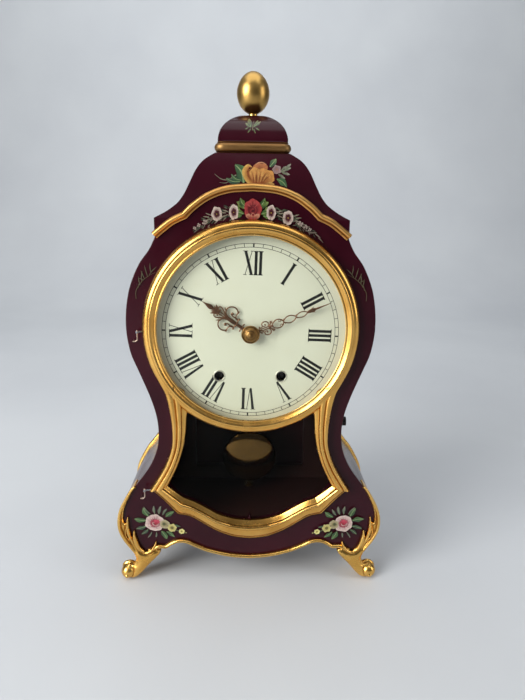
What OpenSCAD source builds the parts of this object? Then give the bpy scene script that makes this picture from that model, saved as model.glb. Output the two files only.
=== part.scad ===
/* [Case] */
// Depth of the wooden case, from the front board's face to the back frame's face
case_d = 86; // [85:0.5:87]
// Thickness of the front board
board_t = 8; // [7:0.5:8]
// Thickness of the curved side panels
side_t = 5; // [4:0.5:5.5]
// Thickness of the back frame
back_t = 6; // [5:0.5:7]
/* [Dial and hands] */
// Radius of the dial plate
dial_r = 74; // [73:0.5:74]
// Radius of the winding holes in the dial
wind_hole_r = 3.9; // [3.5:0.1:4.2]
// Length of the minute hand
minute_len = 65; // [62:0.5:65]
// Length of the hour hand
hour_len = 44; // [42:0.5:46]
// Rise of the convex dial glass
glass_rise = 7; // [6:0.5:7.5]
/* [Pendulum] */
// Length from the swing axis to the bob's centre
pend_len = 172; // [170:1:174]
// Radius of the pendulum bob
bob_r = 24.5; // [22:0.5:25]
/* [Hidden] */
// the case's own depth runs from y = 0 (face of the front board) backwards; FY centres the whole clock on the origin
FY = -40;
MX = -0.6;   // the movement and the dial sit a little left of and below the bezel's centre
MZ = 217.6;
DZ = 220;    // height of the bezel's centre
LAC = [0.17, 0.05, 0.08];
GILT = [0.83, 0.62, 0.22];
BRASS = [0.80, 0.66, 0.32];
STEEL = [0.55, 0.56, 0.58];
DARKW = [0.12, 0.06, 0.05];

// ---- curves
function cr(a, b, c, d, t) = 0.5 * (2*b + (c - a)*t + (2*a - 5*b + 4*c - d)*t*t + (3*b - a - 3*c + d)*t*t*t);
function spl(p, n = 5) = concat([for (i = [0:len(p)-2]) for (k = [0:n-1]) cr(p[max(i-1, 0)], p[i], p[i+1], p[min(i+2, len(p)-1)], k/n)], [p[len(p)-1]]);
function mir(p) = [for (i = [len(p)-1:-1:0]) [-p[i][0], p[i][1]]];
function rev(p) = [for (i = [len(p)-1:-1:0]) p[i]];
function nrm(v) = v / norm(v);
function off(p, d) = [for (i = [0:len(p)-1]) let (a = p[max(i-1, 0)], b = p[min(i+1, len(p)-1)], t = nrm(b - a)) abs(p[i][0]) < 0.01 ? [0, p[i][1] - d*sign(t[0])] : p[i] + d*[t[1], -t[0]]];
// whole outline from its right half: sym0 where the half starts on the middle line, sym1 where it ends there
function sym0(p) = concat([for (i = [len(p)-1:-1:1]) [-p[i][0], p[i][1]]], p);
function sym1(p) = concat(p, [for (i = [len(p)-2:-1:0]) [-p[i][0], p[i][1]]]);
function pol(r, a) = [r*cos(a), r*sin(a)];
function arc(cx, cz, r, a0, a1, n) = [for (i = [0:n]) [cx, cz] + pol(r, a0 + (a1 - a0)*i/n)];

function area(p, i = 0, a = 0) = i == len(p) ? a : area(p, i + 1, a + p[i][0]*p[(i + 1)%len(p)][1] - p[(i + 1)%len(p)][0]*p[i][1]);
function ccw(p) = area(p) < 0 ? rev(p) : p;
module poly(p) polygon(ccw(p));

// ---- placing
module P() translate([0, FY, 0]) children();
module xz(y0, y1) translate([0, y1, 0]) rotate([90, 0, 0]) linear_extrude(y1 - y0) children();
module yz(x0, x1) translate([x0, 0, 0]) rotate([90, 0, 90]) linear_extrude(x1 - x0) children();
module cy(x, z, r, y0, y1, f = 64) translate([x, y1, z]) rotate([90, 0, 0]) cylinder(r = r, h = y1 - y0, $fn = f);
module band(p, d0, d1) poly(concat(off(p, d0), rev(off(p, d1))));

// ---- outline of the case, right half, from the hood down to the middle of the apron
side_pts = spl([[70.4, 289.5], [75.2, 280], [83.2, 269], [90, 254], [93.4, 240], [94.8, 226], [94.4, 214], [92, 200.5], [86.5, 186], [79.5, 167.5], [75, 152],
    [73.4, 138], [74.5, 124], [78.5, 112], [84, 102], [91.2, 92], [97, 84.5], [102.3, 75.5], [106.6, 66.5], [108.6, 58], [108, 48], [104, 38.5]], 3);
corner_pts = [[104, 38.5], [98.5, 31.5], [92, 28.5]];
apron_pts = concat(spl([[92, 28.5], [87, 28], [82, 29], [77.5, 31.8]], 2), spl([[76, 32], [70.5, 31.8], [66, 34.8], [60, 37.2], [53, 36.6], [44, 32.2], [33, 27.6], [16, 23.4], [0, 22]], 3));
arch_pts = concat(spl([[0, 324.3], [17.5, 322.8], [31.5, 318], [42, 311], [47.6, 305.9]], 4), spl([[49, 304.4], [58.6, 299.8], [70.4, 290.6]], 4));
hood_pts = spl([[70.5, 302.4], [60.7, 307.8], [52, 315], [46, 323.6], [41.2, 333.2], [35.8, 341], [27.2, 348.6]], 3);
hood_yd = spl([[-2, 302.4], [0.6, 307.8], [3.6, 315], [6.4, 323.6], [9, 333.2], [11.6, 341], [15, 348.6]], 3);

// door outline, right half: the leg from the bezel down to its lower tip
leg_out = spl([[67, 172], [64.8, 160], [62.6, 146], [62.4, 131], [64.2, 121], [68.2, 110.4], [73.4, 100.6], [82.2, 86]], 4);
leg_in = spl([[49.8, 158], [50.6, 148], [51.4, 137], [53.8, 123], [59.4, 106], [66.6, 92.2]], 4);
rail_in = spl([[66.6, 92.2], [60, 84], [55, 79.4]], 3);
rail_in2 = spl([[53.6, 78.6], [45.2, 75], [36, 69.6], [26, 63.6], [13, 59.4], [0, 58]], 3);
rail_out = spl([[82.2, 84.6], [71.6, 77.4], [65, 70], [60.4, 64.2]], 3);
rail_out2 = spl([[59, 63.4], [49.6, 61.6], [41, 56.4], [33.4, 51.4], [25, 46.6], [13, 42.2], [0, 40.6]], 3);

module disc(r, z = DZ, x = 0) translate([x, z]) circle(r, $fn = 128);
// three steps of the door's moulding: outline and opening of each, right half
out1 = concat([[68, 178]], leg_out, rail_out, rail_out2);
in1 = concat([[48, 166]], leg_in, rail_in, rail_in2);
out2 = concat([[67, 178]], spl([[66, 172], [63.8, 160], [61.6, 146], [61.4, 131], [63.2, 121.5], [67.2, 111], [72.2, 101.4], [79.6, 87.2]], 4), spl([[79, 85.4], [71, 79.6], [64, 72], [59, 66]], 3),
    spl([[57.6, 65.2], [50, 63.4], [41, 58], [33, 53], [24.6, 48.2], [13, 43.8], [0, 42.2]], 3));
in2 = concat([[48, 166]], spl([[51.6, 158], [52.4, 148], [53.2, 137], [55.6, 123.4], [61, 106.8], [69.4, 91.4]], 4), spl([[67.4, 88.6], [61.5, 82.2], [56, 77.6]], 3),
    spl([[54.4, 76.8], [45.6, 73.2], [36.6, 67.8], [26.4, 61.8], [13.2, 57.6], [0, 56.2]], 3));
out3 = concat([[63, 176]], spl([[62, 170], [60, 160], [58.6, 146], [58.4, 131.5], [60.2, 122], [64.4, 112], [69.6, 102.2], [76, 90]], 4), spl([[74.5, 86.6], [69, 82], [62, 75.4], [57, 70.8]], 3),
    spl([[55.6, 70], [48.6, 67.6], [39.6, 62], [31.6, 57], [23.6, 52.6], [12.6, 48.4], [0, 46.8]], 3));
in3 = concat([[48, 166]], spl([[54, 158], [54.4, 148], [55, 137.6], [57.4, 124.2], [62.8, 107.8], [71, 92.2]], 4), spl([[68.6, 88], [62.4, 80.6], [57, 76]], 3),
    spl([[55.4, 75.2], [46.2, 71.4], [37.4, 66], [26.8, 60.2], [13.4, 56], [0, 54.6]], 3));
module step2d(o, i) difference() { poly(sym1(o)); poly(sym1(i)); }
module key_hole(d) {           // opening in the front board behind the door
    disc(76.8);
    pts = concat([[47, 170]], off(leg_in, -d), off(rail_in, -d), off(rail_in2, -d));
    poly(sym1(pts));
}
corner_in = [corner_pts[1]];
half_low = concat(side_pts, corner_in, apron_pts);
body_poly = concat(sym0(arch_pts), half_low, [for (i = [len(half_low)-2:-1:0]) [-half_low[i][0], half_low[i][1]]]);

// ================= case
module front_board() color(LAC) P() difference() {
    xz(0, board_t) difference() { poly(body_poly); key_hole(3); }
    cy(-88.8, 212, 1, -1, 5.5, 24); cy(-88.8, 80, 1, -1, 5.5, 24);
    cy(76.5, 246, 2, -1, 6, 24);
}
module side2d() band(concat(side_pts), 0, side_t);
module right_side_panel() color(LAC) P() difference() {
    xz(board_t, case_d - back_t) side2d();
    translate([60, 30, 134]) rotate([0, 90, 0]) cylinder(r = 1.7, h = 30, $fn = 32);
}
module left_side_panel() color(LAC) P() xz(board_t, case_d - back_t) mirror([1, 0]) side2d();
module inner2d(g = 0) { q = off(side_pts, side_t + g); poly(concat(q, mir(q))); }
module base_board() color(DARKW) P() xz(board_t, case_d - back_t) intersection() { inner2d(); translate([-120, 46]) square([240, 7]); }
module back_frame() color(DARKW) P() difference() {
    xz(case_d - back_t, case_d) difference() {
        q = concat(side_pts, [[98, 36]]);
        poly(concat(q, mir(q)));
        translate([-52, 66]) square([104, 150]);
        disc(52, 216);
    }
}
module hood_outer() intersection() {
    xz(-10, 110) poly(concat([[70.5, 289.6]], hood_pts, mir(hood_pts), [[-70.5, 289.6]]));
    yz(-80, 80) poly(concat([[-2, 289.6]], hood_yd, [for (p = rev(hood_yd)) [case_d - 2 - p[0], p[1]]], [[case_d, 289.6]]));
}
module hood() color(LAC) P() difference() {
    hood_outer();
    intersection() {
        xz(8, case_d - 6) poly(concat([[65.5, 289]], off(hood_pts, -5), mir(off(hood_pts, -5)), [[-65.5, 289]]));
        yz(-66, 66) poly([[8, 289], [8, 306], [13, 322], [17.5, 341], [case_d - 19.5, 341], [case_d - 15, 322], [case_d - 6, 306], [case_d - 6, 289]]);
    }
    xz(-20, board_t) poly(concat(sym0(arch_pts), [[72, 288], [-72, 288]]));
    xz(-20, 0) poly(concat(sym0(off(arch_pts, -3.2)), [[76, 288], [-76, 288]]));
    translate([0, 42, 335]) cylinder(r = 2.05, h = 16, $fn = 48);
}
dome_pts = spl([[25.6, 356.4], [25.2, 360.4], [23, 366], [18.6, 371.2], [12, 375.4], [5, 377.4], [0, 377.6]], 3);
module cap_dome() color(LAC) P() difference() {
    intersection() {
        xz(0, 90) poly(sym1(dome_pts));
        translate([0, 42, 0]) yz(-40, 40) poly(sym1(dome_pts));
    }
    translate([0, 42, 350]) cylinder(r = 2.05, h = 40, $fn = 48);
}
module slab(hx, z0, z1) translate([-hx, 42 - hx, z0]) cube([2*hx, 2*hx, z1 - z0]);
module cap_moulding() color(GILT) P() difference() {
    union() {
        slab(26.6, 348.6, 356.4);
        slab(27.7, 349.8, 355.2);
        slab(28.2, 351.2, 353.8);
    }
    translate([0, 42, 340]) cylinder(r = 2.05, h = 20, $fn = 48);
}
module finial_stem() color(BRASS) P() translate([0, 42, 0]) union() {
    translate([0, 0, 336.5]) cylinder(r = 2, h = 49.4, $fn = 48);
    translate([0, 0, 377.7]) cylinder(r = 3.2, h = 1.2, $fn = 48);
    translate([0, 0, 338]) cylinder(r = 5, h = 2.9, $fn = 6);
}
// egg: narrow end up, half-profile from the bottom to the top
egg_half = spl([[0, 378.9], [3.4, 379.3], [7.4, 381.8], [10.6, 386], [12.2, 391.4], [12, 396.6], [10.2, 401.6], [7.2, 405.6], [3.6, 408], [0, 408.8]], 3);
module egg_finial() color(GILT) P() translate([0, 42, 0]) difference() {
    rotate_extrude($fn = 96) poly(concat([for (p = egg_half) [max(p[0], 0), p[1]]]));
    translate([0, 0, 370]) cylinder(r = 2.02, h = 16.05, $fn = 48);
}
module hood_moulding() color(GILT) P() union() {
    xz(-3.2, -0.02) poly(concat(sym0(off(arch_pts, -2.9)), rev(sym0(off(arch_pts, 2.6)))));
    xz(-4.6, -3.2) poly(concat(sym0(off(arch_pts, -1.7)), rev(sym0(off(arch_pts, 1.4)))));
}
module apron_moulding() color(GILT) P() union() {
    ap = [for (i = [7:len(apron_pts)-1]) apron_pts[i]];
    xz(-3, -0.02) poly(concat(sym1(off(ap, -1.2)), rev(sym1(off(ap, 2)))));
    xz(-0.02, 7.5) poly(concat(sym1(off(ap, -1.2)), rev(sym1(off(ap, -0.1)))));
}
// gilt front leg: edge strip up the case's corner, acanthus body and a scroll foot, right-hand one
leg_edge = spl([[91.2, 92.4], [97, 84.9], [102.4, 75.8], [106.8, 66.8], [108.9, 58], [108.3, 48], [104.4, 38.4]], 3);
module leg_face2d() poly(concat([[91, 92.4]], off(leg_edge, -1.7), [[100.6, 30.4], [96.6, 25], [95.2, 19], [97.6, 13], [99, 7], [99, 0], [90, 0], [85.4, 8], [80.6, 15.4], [74.8, 22.4],
    [73.6, 27.4], [77.8, 30.4], [81.6, 28.4], [83.4, 34], [86.2, 29.6], [92, 32.6], [96.2, 38], [97, 46], [100.4, 39.6], [104.2, 49], [103.8, 60], [106, 56], [106.2, 66], [101.8, 75.2], [96.4, 84.4]]));
module leg_strip2d() poly(concat(off(leg_edge, -0.1), rev(off(leg_edge, -2))));
module front_leg() color(GILT) union() {
    xz(-3.2, -0.02) leg_face2d();
    xz(-0.02, 11) leg_strip2d();
    xz(-0.02, 10) poly([[98.2, 31.2], [96.6, 25], [95.2, 19], [97.6, 13], [99, 7], [99, 0], [90, 0], [85.4, 8], [80.6, 15.4], [76, 21.6], [82, 24.6], [92, 28.2]]);
    difference() {
        translate([103.2, 3.4, 7.4]) sphere(r = 7.6, $fn = 64);
        translate([90, -10, -5]) cube([30, 30, 5]);
        translate([80, -10, -5]) cube([19, 30, 30]);
    }
}
module right_front_leg() P() front_leg();
module left_front_leg() P() mirror([1, 0, 0]) front_leg();
module rear_foot() union() {
    xz(case_d - 11, case_d - 0.5) poly([[104, 38.2], [98.2, 31.2], [95.6, 22], [97.6, 13], [99, 7], [99, 0], [90, 0], [85.4, 8], [80.6, 15.4], [76, 24], [84, 35.8], [98, 35.8]]);
    difference() {
        translate([103.2, case_d - 6, 7.4]) sphere(r = 7.2, $fn = 48);
        translate([90, 65, -5]) cube([30, 30, 5]);
        translate([80, 65, -5]) cube([19, 30, 30]);
    }
}
module rear_feet() color(GILT) P() { rear_foot(); mirror([1, 0, 0]) rear_foot(); }
module rear_mould_one() {
    rp = [for (i = [2:52]) side_pts[i]];
    xz(case_d - 5, case_d + 1.6) poly(concat(off(rp, -0.1), rev(off(rp, -2.3))));
    xz(case_d + 0.02, case_d + 1.6) poly(concat(off(rp, -0.1), rev(off(rp, 3.6))));
}
module rear_mouldings() color(GILT) P() { rear_mould_one(); mirror([1, 0, 0]) rear_mould_one(); }
// bent wire hook with an upright pin that the door's eye drops over
HX = -85.5; HY = -5.4;
module hook(z) union() {
    cy(-88.8, z - 9, 0.8, HY - 0.8, 5, 24);
    translate([-88.8, HY, z - 9]) rotate([0, 90, 0]) cylinder(r = 0.8, h = 3.3, $fn = 24);
    translate([-88.8, HY, z - 9]) sphere(r = 0.8, $fn = 24);
    translate([HX, HY, z - 9]) sphere(r = 0.8, $fn = 24);
    translate([HX, HY, z - 9]) cylinder(r = 0.8, h = 9, $fn = 24);
}
module front_hinge_hooks() color(BRASS) P() { hook(221); hook(89); }
BHX = -60.5; BHY = case_d + 4.4;
module back_hinge_case_leaves() color(BRASS) P() for (z = [98, 226]) {
    difference() {
        union() {
            translate([-70, case_d + 0.02, z - 9]) cube([7.6, 1, 18]);
            translate([-64.4, case_d + 0.02, z - 9]) cube([2.3, 4.4, 6]);
            translate([-64.4, case_d + 0.02, z + 3]) cube([2.3, 4.4, 6]);
            for (k = [-9, 3]) translate([BHX, BHY, z + k]) cylinder(r = 2, h = 6, $fn = 48);
        }
    }
    translate([BHX, BHY, z - 9.5]) cylinder(r = 0.9, h = 19, $fn = 32);
}
module movement_shelf() color(DARKW) P() difference() {
    xz(board_t, 49) intersection() { inner2d(); translate([-120, 151.6]) square([240, 8]); }
    for (x = [-44, 44]) translate([x + MX, 31, 150]) cylinder(r = 1.55, h = 12, $fn = 32);
}
// screws up through the shelf into the two lower pillars
module movement_screws() color(STEEL) P() for (x = [-44, 44]) translate([x + MX, 31, 0]) {
    translate([0, 0, 149.2]) cylinder(r = 3.2, h = 2.38, $fn = 48);
    translate([0, 0, 151]) cylinder(r = 1.5, h = 14.4, $fn = 32);
}
// ================= movement
PT = 14; PB = 46;          // inner limits: front plate 14..16, back plate 46..48
A_C = [0, 0]; A_TB = [24.2, -34.4]; A_SB = [-24.2, -34.4];
function meet(p, q, rp, rq, s) = let (d = norm(q - p), a = (rp*rp - rq*rq + d*d)/(2*d), h = sqrt(rp*rp - a*a), u = (q - p)/d) p + a*u + s*h*[-u[1], u[0]];
A_2 = meet(A_C, A_TB, 21, 24.5, 1);
A_E = [0, 26.2];
A_3 = meet(A_C, A_E, 20.475, 17.325, -1);
A_P = [-A_2[0], A_2[1]];
A_W = A_P + pol(20.4, 110);
A_F = A_W + pol(15.75, 80);
A_A = [0, 43.2];           // anchor arbor and swing axis
A_H = [-44, -6];           // hammer arbor
A_M = pol(14.4, 215);      // minute wheel stud
module M(p) translate([MX + p[0], 0, MZ + p[1]]) children();
function ang(p, q) = atan2(q[1] - p[1], q[0] - p[0]);
function mate(phi, zA, rA, zB) = phi + 180 + ((phi - rA)*zA/360 - 0.5)*360/zB;
function wheel_pts(z, m, rot) = let (r = z*m/2) [for (k = [0:z-1]) for (q = [[-1.1, -0.95], [0.75, -0.3], [0.75, 0.3], [-1.1, 0.95]]) pol(r + q[0]*m, rot + 360*k/z + q[1]*m/(r + q[0]*m)*180/PI)];
function leaf_pts(z, m, rot) = let (r = z*m/2, d = 1.5, g = 0.5*(z/2 - d)/(z/2)) [for (k = [0:z-1]) for (q = [[-d, -g], [0, -0.5], [0.45, -0.25], [0.45, 0.25], [0, 0.5], [-d, g]]) pol(r + q[0]*m, rot + 360*k/z + q[1]*m/(r + q[0]*m)*180/PI)];
module wheel(z, m, rot, y0, y1, rim = 2.6, hub = 3, n = 5) {
    r = z*m/2;
    xz(y0, y1) difference() {
        poly(wheel_pts(z, m, rot));
        difference() {
            circle(r - 1.1*m - rim, $fn = 96);
            circle(hub, $fn = 48);
            for (k = [0:n-1]) rotate(k*360/n) translate([0, -0.9]) square([r, 1.8]);
        }
    }
}
module pinion(z, m, rot, y0, y1) xz(y0, y1) poly(leaf_pts(z, m, rot));
module rod(r, y0, y1, f = 32) cy(0, 0, r, y0, y1, f);
plate_holes = [[A_C, 1.56], [A_TB, 3.05], [A_SB, 3.05], [A_2, 1.05], [A_3, 0.85], [A_E, 0.85], [A_P, 1.05], [A_W, 0.85], [A_F, 0.85], [A_A, 1.05], [A_H, 1.25]];
PIL = [[-44, -52], [44, -52], [-42, 46], [42, 46]];
module front_plate() color(BRASS) P() difference() {
    union() {
        M([0, 0]) difference() {
            xz(14, 16) translate([-48, -57.9]) square([96, 108.3]);
            for (h = plate_holes) cy(h[0][0], h[0][1], h[1], 10, 20, 48);
            for (p = PIL) cy(p[0], p[1], 1.55, 10, 20, 32);
            for (s = [-1, 1]) cy(s*33.4, -28, 1.05, 10, 20, 32);
        }
        M(A_M) cy(0, 0, 1, 6, 14.5, 32);       // stud for the minute wheel
    }
}
module back_plate() color(BRASS) P() M([0, 0]) difference() {
    xz(46, 48) translate([-48, -57.9]) square([96, 108.3]);
    for (h = plate_holes) cy(h[0][0], h[0][1], h[1], 40, 50, 48);
    for (p = PIL) cy(p[0], p[1], 1.55, 40, 50, 32);
    cy(-30, 30, 1.55, 40, 50, 32);
}
module pillars() color(BRASS) P() for (p = PIL) M(p) difference() {
    union() { cy(0, 0, 2.6, 16, 46); cy(0, 0, 1.5, 12.4, 49.6, 32); }
    if (p[1] < 0) translate([0, 31, -5]) cylinder(r = 1.52, h = 5.2, $fn = 32);
}
module pillar_nuts() color(STEEL) P() for (p = PIL) M(p) { difference() { union() { cy(0, 0, 2.9, 48, 49.8, 6); cy(0, 0, 2.9, 12.2, 14, 6); } cy(0, 0, 1.5, 10, 52, 32); } }
PY = 54;                    // plane in which the pendulum hangs
module pendulum_cock() color(BRASS) P() M(A_A) union() {
    difference() {
        translate([-7, 48, -9]) cube([14, 1.6, 16]);
        cy(0, 0, 1.05, 47, 50, 32);
    }
    translate([-5, 48, 3]) cube([10, 8.6, 4]);
    difference() {
        translate([-5, 51.6, -2]) cube([10, 5, 6]);
        translate([-0.5, 51, -3]) cube([1, 6, 5.6]);
    }
}
module suspension_spring() color(STEEL) P() M(A_A) translate([-0.15, PY - 2, -9]) cube([0.3, 4, 11]);
module pendulum_rod() color(BRASS) P() M(A_A) union() {
    difference() { translate([-2.4, PY - 2.4, -14]) cube([4.8, 4.8, 5.6]); translate([-0.2, PY - 3, -10]) cube([0.4, 7, 3]); }
    translate([0, PY, -pend_len - 30]) cylinder(r = 1.1, h = pend_len + 30 - 13.6, $fn = 32);
}
module pendulum_bob() color(BRASS) P() M(A_A) translate([0, PY, -pend_len]) difference() {
    rotate([90, 0, 0]) rotate_extrude($fn = 96) poly(concat([[0, -4.4]], [for (i = [1:8]) [bob_r*sin(90*i/8), -0.5 - 3.9*cos(90*i/8)]], [for (i = [8:-1:1]) [bob_r*sin(90*i/8), 0.5 + 3.9*cos(90*i/8)]], [[0, 4.4]]));
    translate([0, 0, -40]) cylinder(r = 1.12, h = 80, $fn = 32);
}
module rating_nut() color(BRASS) P() M(A_A) translate([0, PY, -pend_len - bob_r - 4.4]) difference() {
    union() { cylinder(r = 4.2, h = 2.2, $fn = 48); cylinder(r = 2.6, h = 4, $fn = 32); }
    translate([0, 0, -1]) cylinder(r = 1.15, h = 8, $fn = 32);
}
// ---- going train, one node per wheel with its arbor and pinion
rot2 = mate(ang(A_TB, A_2), 60, 0, 10);
rotC = mate(ang(A_2, A_C), 60, 0, 10);
rot3 = mate(ang(A_C, A_3), 84, 0, 7);
rotE = mate(ang(A_3, A_E), 70, 0, 7);
module drum() difference() {
    union() { xz(19.6, 22) poly(wheel_pts(60, 0.7, 0)); rod(19.4, 22, 38, 96); }
    rod(18.2, 23.2, 36.8, 96);
    rod(3.05, 10, 50, 48);
}
module time_barrel() color(BRASS) P() M(A_TB) drum();
module strike_barrel() color(BRASS) P() M(A_SB) drum();
module wind_arbor(s) union() {
    rod(3, 12.4, 48.6, 48);
    translate([-1.9, 4.6, -1.9]) cube([3.8, 8.2, 3.8]);
    rod(4.6, 24, 36, 48);
    // ratchet wheel in front of the front plate
    xz(11, 13.2) poly([for (k = [0:11]) for (q = s > 0 ? [[5.2, 0], [6.8, 26]] : [[6.8, 4], [5.2, 30]]) pol(q[0], 30*k + q[1])]);
}
module time_winding_arbor() color(STEEL) P() M(A_TB) wind_arbor(1);
module strike_winding_arbor() color(STEEL) P() M(A_SB) wind_arbor(-1);
// click beside each ratchet, turning on a stud in the front plate
module click(s) union() {
    cy(0, 0, 2.2, 11.2, 13, 32);
    cy(0, 0, 1, 11.2, 16.6, 32);
    xz(11.2, 13) poly([[-1.8*s, 1], [1.9*s, 1], [-0.9*s, -5.4], [-2.6*s, -6.4]]);
}
module time_click() color(STEEL) P() M([33.4, -28]) click(1);
module strike_click() color(STEEL) P() M([-33.4, -28]) click(-1);
module second_wheel() color(BRASS) P() M(A_2) union() { rod(1, 14.4, 47.6); pinion(10, 0.7, rot2, 19.4, 22.4); wheel(60, 0.6, 0, 41, 42.4); rod(2.6, 22.4, 24); rod(2.4, 39.4, 41); }
module centre_wheel() color(BRASS) P() M(A_C) union() { rod(1.5, -4.4, 47.6, 48); pinion(10, 0.6, rotC, 40.6, 43.6); wheel(84, 0.45, 0, 17.4, 18.6); rod(3, 18.6, 20); }
module third_wheel() color(BRASS) P() M(A_3) union() { rod(0.8, 14.4, 47.6); pinion(7, 0.45, rot3, 16.6, 19.6); wheel(70, 0.45, 0, 36, 37.2, 2.2, 2.4); rod(2, 34.4, 36); }
module escape_wheel() color(BRASS) P() M(A_E) union() {
    rod(0.8, 14.4, 47.6); pinion(7, 0.45, rotE, 34.6, 38.4); rod(2, 38.6, 40.2);
    xz(40.2, 41.4) difference() {
        poly([for (k = [0:35]) for (q = [[9.2, 0], [10.8, 2.6], [10.8, 3.4], [9.2, 6]]) pol(q[0], 10*k + q[1])]);
        difference() { circle(7.6, $fn = 64); circle(2.4, $fn = 32); for (k = [0:3]) rotate(k*90) translate([0, -0.8]) square([11, 1.6]); }
    }
}
// anchor: two pallets just outside the escape wheel at mid-swing, arbor and crutch with a fork round the rod
module anchor() color(STEEL) P() M(A_A) union() {
    rod(1, 14.4, 51, 32);
    xz(40, 41.6) poly([[-12, -10.2], [-9, -2.5], [-3, 2.6], [3, 2.6], [9, -2.5], [12, -10.2], [10.1, -9.6], [7, -4.4], [2, -1.6], [-2, -1.6], [-7, -4.4], [-10.1, -9.6]]);
    translate([-1, 49.9, -30]) cube([2, 1, 31]);
    translate([-2.6, 49.9, -32]) cube([5.2, 1, 3]);
    for (s = [-1, 1]) translate([s*1.9 - 0.7, 49.9, -32]) cube([1.4, 5.6, 3]);
}
// ---- motion work behind the dial
rotM = mate(ang(A_C, A_M), 12, 0, 36);
rotH = mate(ang(A_M, A_C), 10, 0, 40);
module cannon_pinion() color(STEEL) P() M(A_C) difference() {
    union() { pinion(12, 0.6, 0, 10.4, 12.6); rod(2.5, -3, 10.5, 48); }
    rod(1.55, -8, 14, 48);
}
module minute_wheel() color(BRASS) P() M(A_M) difference() {
    union() { wheel(36, 0.6, rotM, 10.6, 11.8, 1.8, 3, 4); pinion(10, 0.576, 0, 7.2, 10.7); }
    rod(1.05, 0, 20, 32);
}
module hour_wheel() color(BRASS) P() M(A_C) difference() {
    union() { wheel(40, 0.576, rotH, 7.4, 8.6, 1.8, 4.6, 4); rod(3.2, -1.1, 7.5, 48); }
    rod(2.56, -8, 20, 48);
}
// ---- hands, pierced as scrolls; drawn pointing up, then set to eleven minutes past ten
module ring2d(r, w) difference() { circle(r + w/2, $fn = 48); circle(r - w/2, $fn = 48); }
module loop2d(z0, z1, w, t) difference() {
    poly([for (i = [0:23]) [w*sin(15*i), (z0 + z1)/2 + (z1 - z0)/2*cos(15*i)]]);
    poly([for (i = [0:23]) [(w - t)*sin(15*i), (z0 + z1)/2 + ((z1 - z0)/2 - t)*cos(15*i)]]);
}
module spear2d(z0, z1, w) poly([[-0.6, z0], [-w, z0 + (z1 - z0)*0.3], [-0.35, z1 - 3], [0, z1], [0.35, z1 - 3], [w, z0 + (z1 - z0)*0.3], [0.6, z0]]);
module hour2d() {
    difference() { circle(5.6, $fn = 64); circle(3.24, $fn = 48); }
    translate([-0.9, 5]) square([1.8, 27]);
    translate([-3.4, 10.4]) square([6.8, 1.2]);
    translate([-2.4, 13]) square([4.8, 1]);
    for (s = [-1, 1]) {
        translate([s*5.6, 20.8]) ring2d(4.2, 1.5);
        translate([s*6.6, 20.8]) circle(1.5, $fn = 32);
        translate([s*6.6 - 0.6, 20.8]) square([1.2, 4]);
        translate([s*7.2, 17.2]) rotate(s*135) translate([-0.7, -1.6]) square([1.4, 4.6]);
        translate([s*2.3, 27.8]) ring2d(1.8, 1.1);
    }
    poly([[-1, 29], [-4.2, 31.4], [-2.2, 32], [-2.8, 34], [0, 35.4], [2.8, 34], [2.2, 32], [4.2, 31.4], [1, 29]]);
    spear2d(33, hour_len, 1.9);
}
module minute2d() {
    difference() { circle(5.2, $fn = 64); circle(2.54, $fn = 48); }
    for (s = [-1, 1]) translate([s*2.7, 8.9]) ring2d(2.2, 1.1);
    translate([-0.7, 4.6]) square([1.4, 6.6]);
    loop2d(10.4, 20, 3.5, 1);
    loop2d(19.2, 29.2, 3, 1);
    loop2d(28.4, 37.4, 2.5, 0.9);
    loop2d(36.8, 45.2, 2.1, 0.8);
    translate([-3, 19.2]) square([6, 0.9]);
    translate([-2.4, 28.4]) square([4.8, 0.9]);
    poly([[-0.5, 44.8], [-1.7, 48.4], [-0.6, 52.6], [0.6, 52.6], [1.7, 48.4], [0.5, 44.8]]);
    spear2d(52, minute_len, 0.9);
}
A_HOUR = -304; A_MIN = -67.8;      // clockwise from twelve
module hour_hand() color([0.36, 0.24, 0.17]) P() M(A_C) xz(-1, -0.2) rotate(A_HOUR) hour2d();
module minute_hand() color([0.36, 0.24, 0.17]) P() M(A_C) xz(-3, -2.2) rotate(A_MIN) minute2d();
module hand_nut() color([0.5, 0.36, 0.2]) P() M(A_C) difference() {
    translate([0, -3.02, 0]) rotate([90, 0, 0]) rotate_extrude($fn = 64) poly([[0, 0], [6.6, 0], [7, 0.5], [7, 1.2], [6.4, 1.8], [5.8, 2], [4.8, 3.3], [2.6, 4.3], [0, 4.7]]);
    rod(1.53, -4.5, 0, 48);
}
// ---- strike train
rotP = mate(ang(A_SB, A_P), 60, 0, 10);
rotW = mate(ang(A_P, A_W), 60, 0, 8);
rotF = mate(ang(A_W, A_F), 56, 0, 7);
module pin_wheel() color(BRASS) P() M(A_P) union() {
    rod(1, 14.4, 47.6); pinion(10, 0.7, rotP, 19.4, 22.4); wheel(60, 0.6, 0, 38.8, 40, 7.4); rod(2.6, 22.4, 24);
    for (k = [0:7]) rotate([0, 45*k + 20, 0]) cy(12.6, 0, 0.6, 39.9, 42.6, 20);
}
module warning_wheel() color(BRASS) P() M(A_W) union() { rod(0.8, 14.4, 47.6); pinion(8, 0.6, rotW, 37.6, 41.2); wheel(56, 0.5, 0, 30, 31.2, 2.2, 2.4); rod(2, 31.2, 33); }
module fly() color(STEEL) P() M(A_F) union() {
    rod(0.8, 14.4, 47.6); pinion(7, 0.5, rotF, 28.8, 32.4); rod(1.8, 33.6, 45);
    translate([-7.6, 34.4, -0.3]) cube([15.2, 9.6, 0.6]);
}
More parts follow.
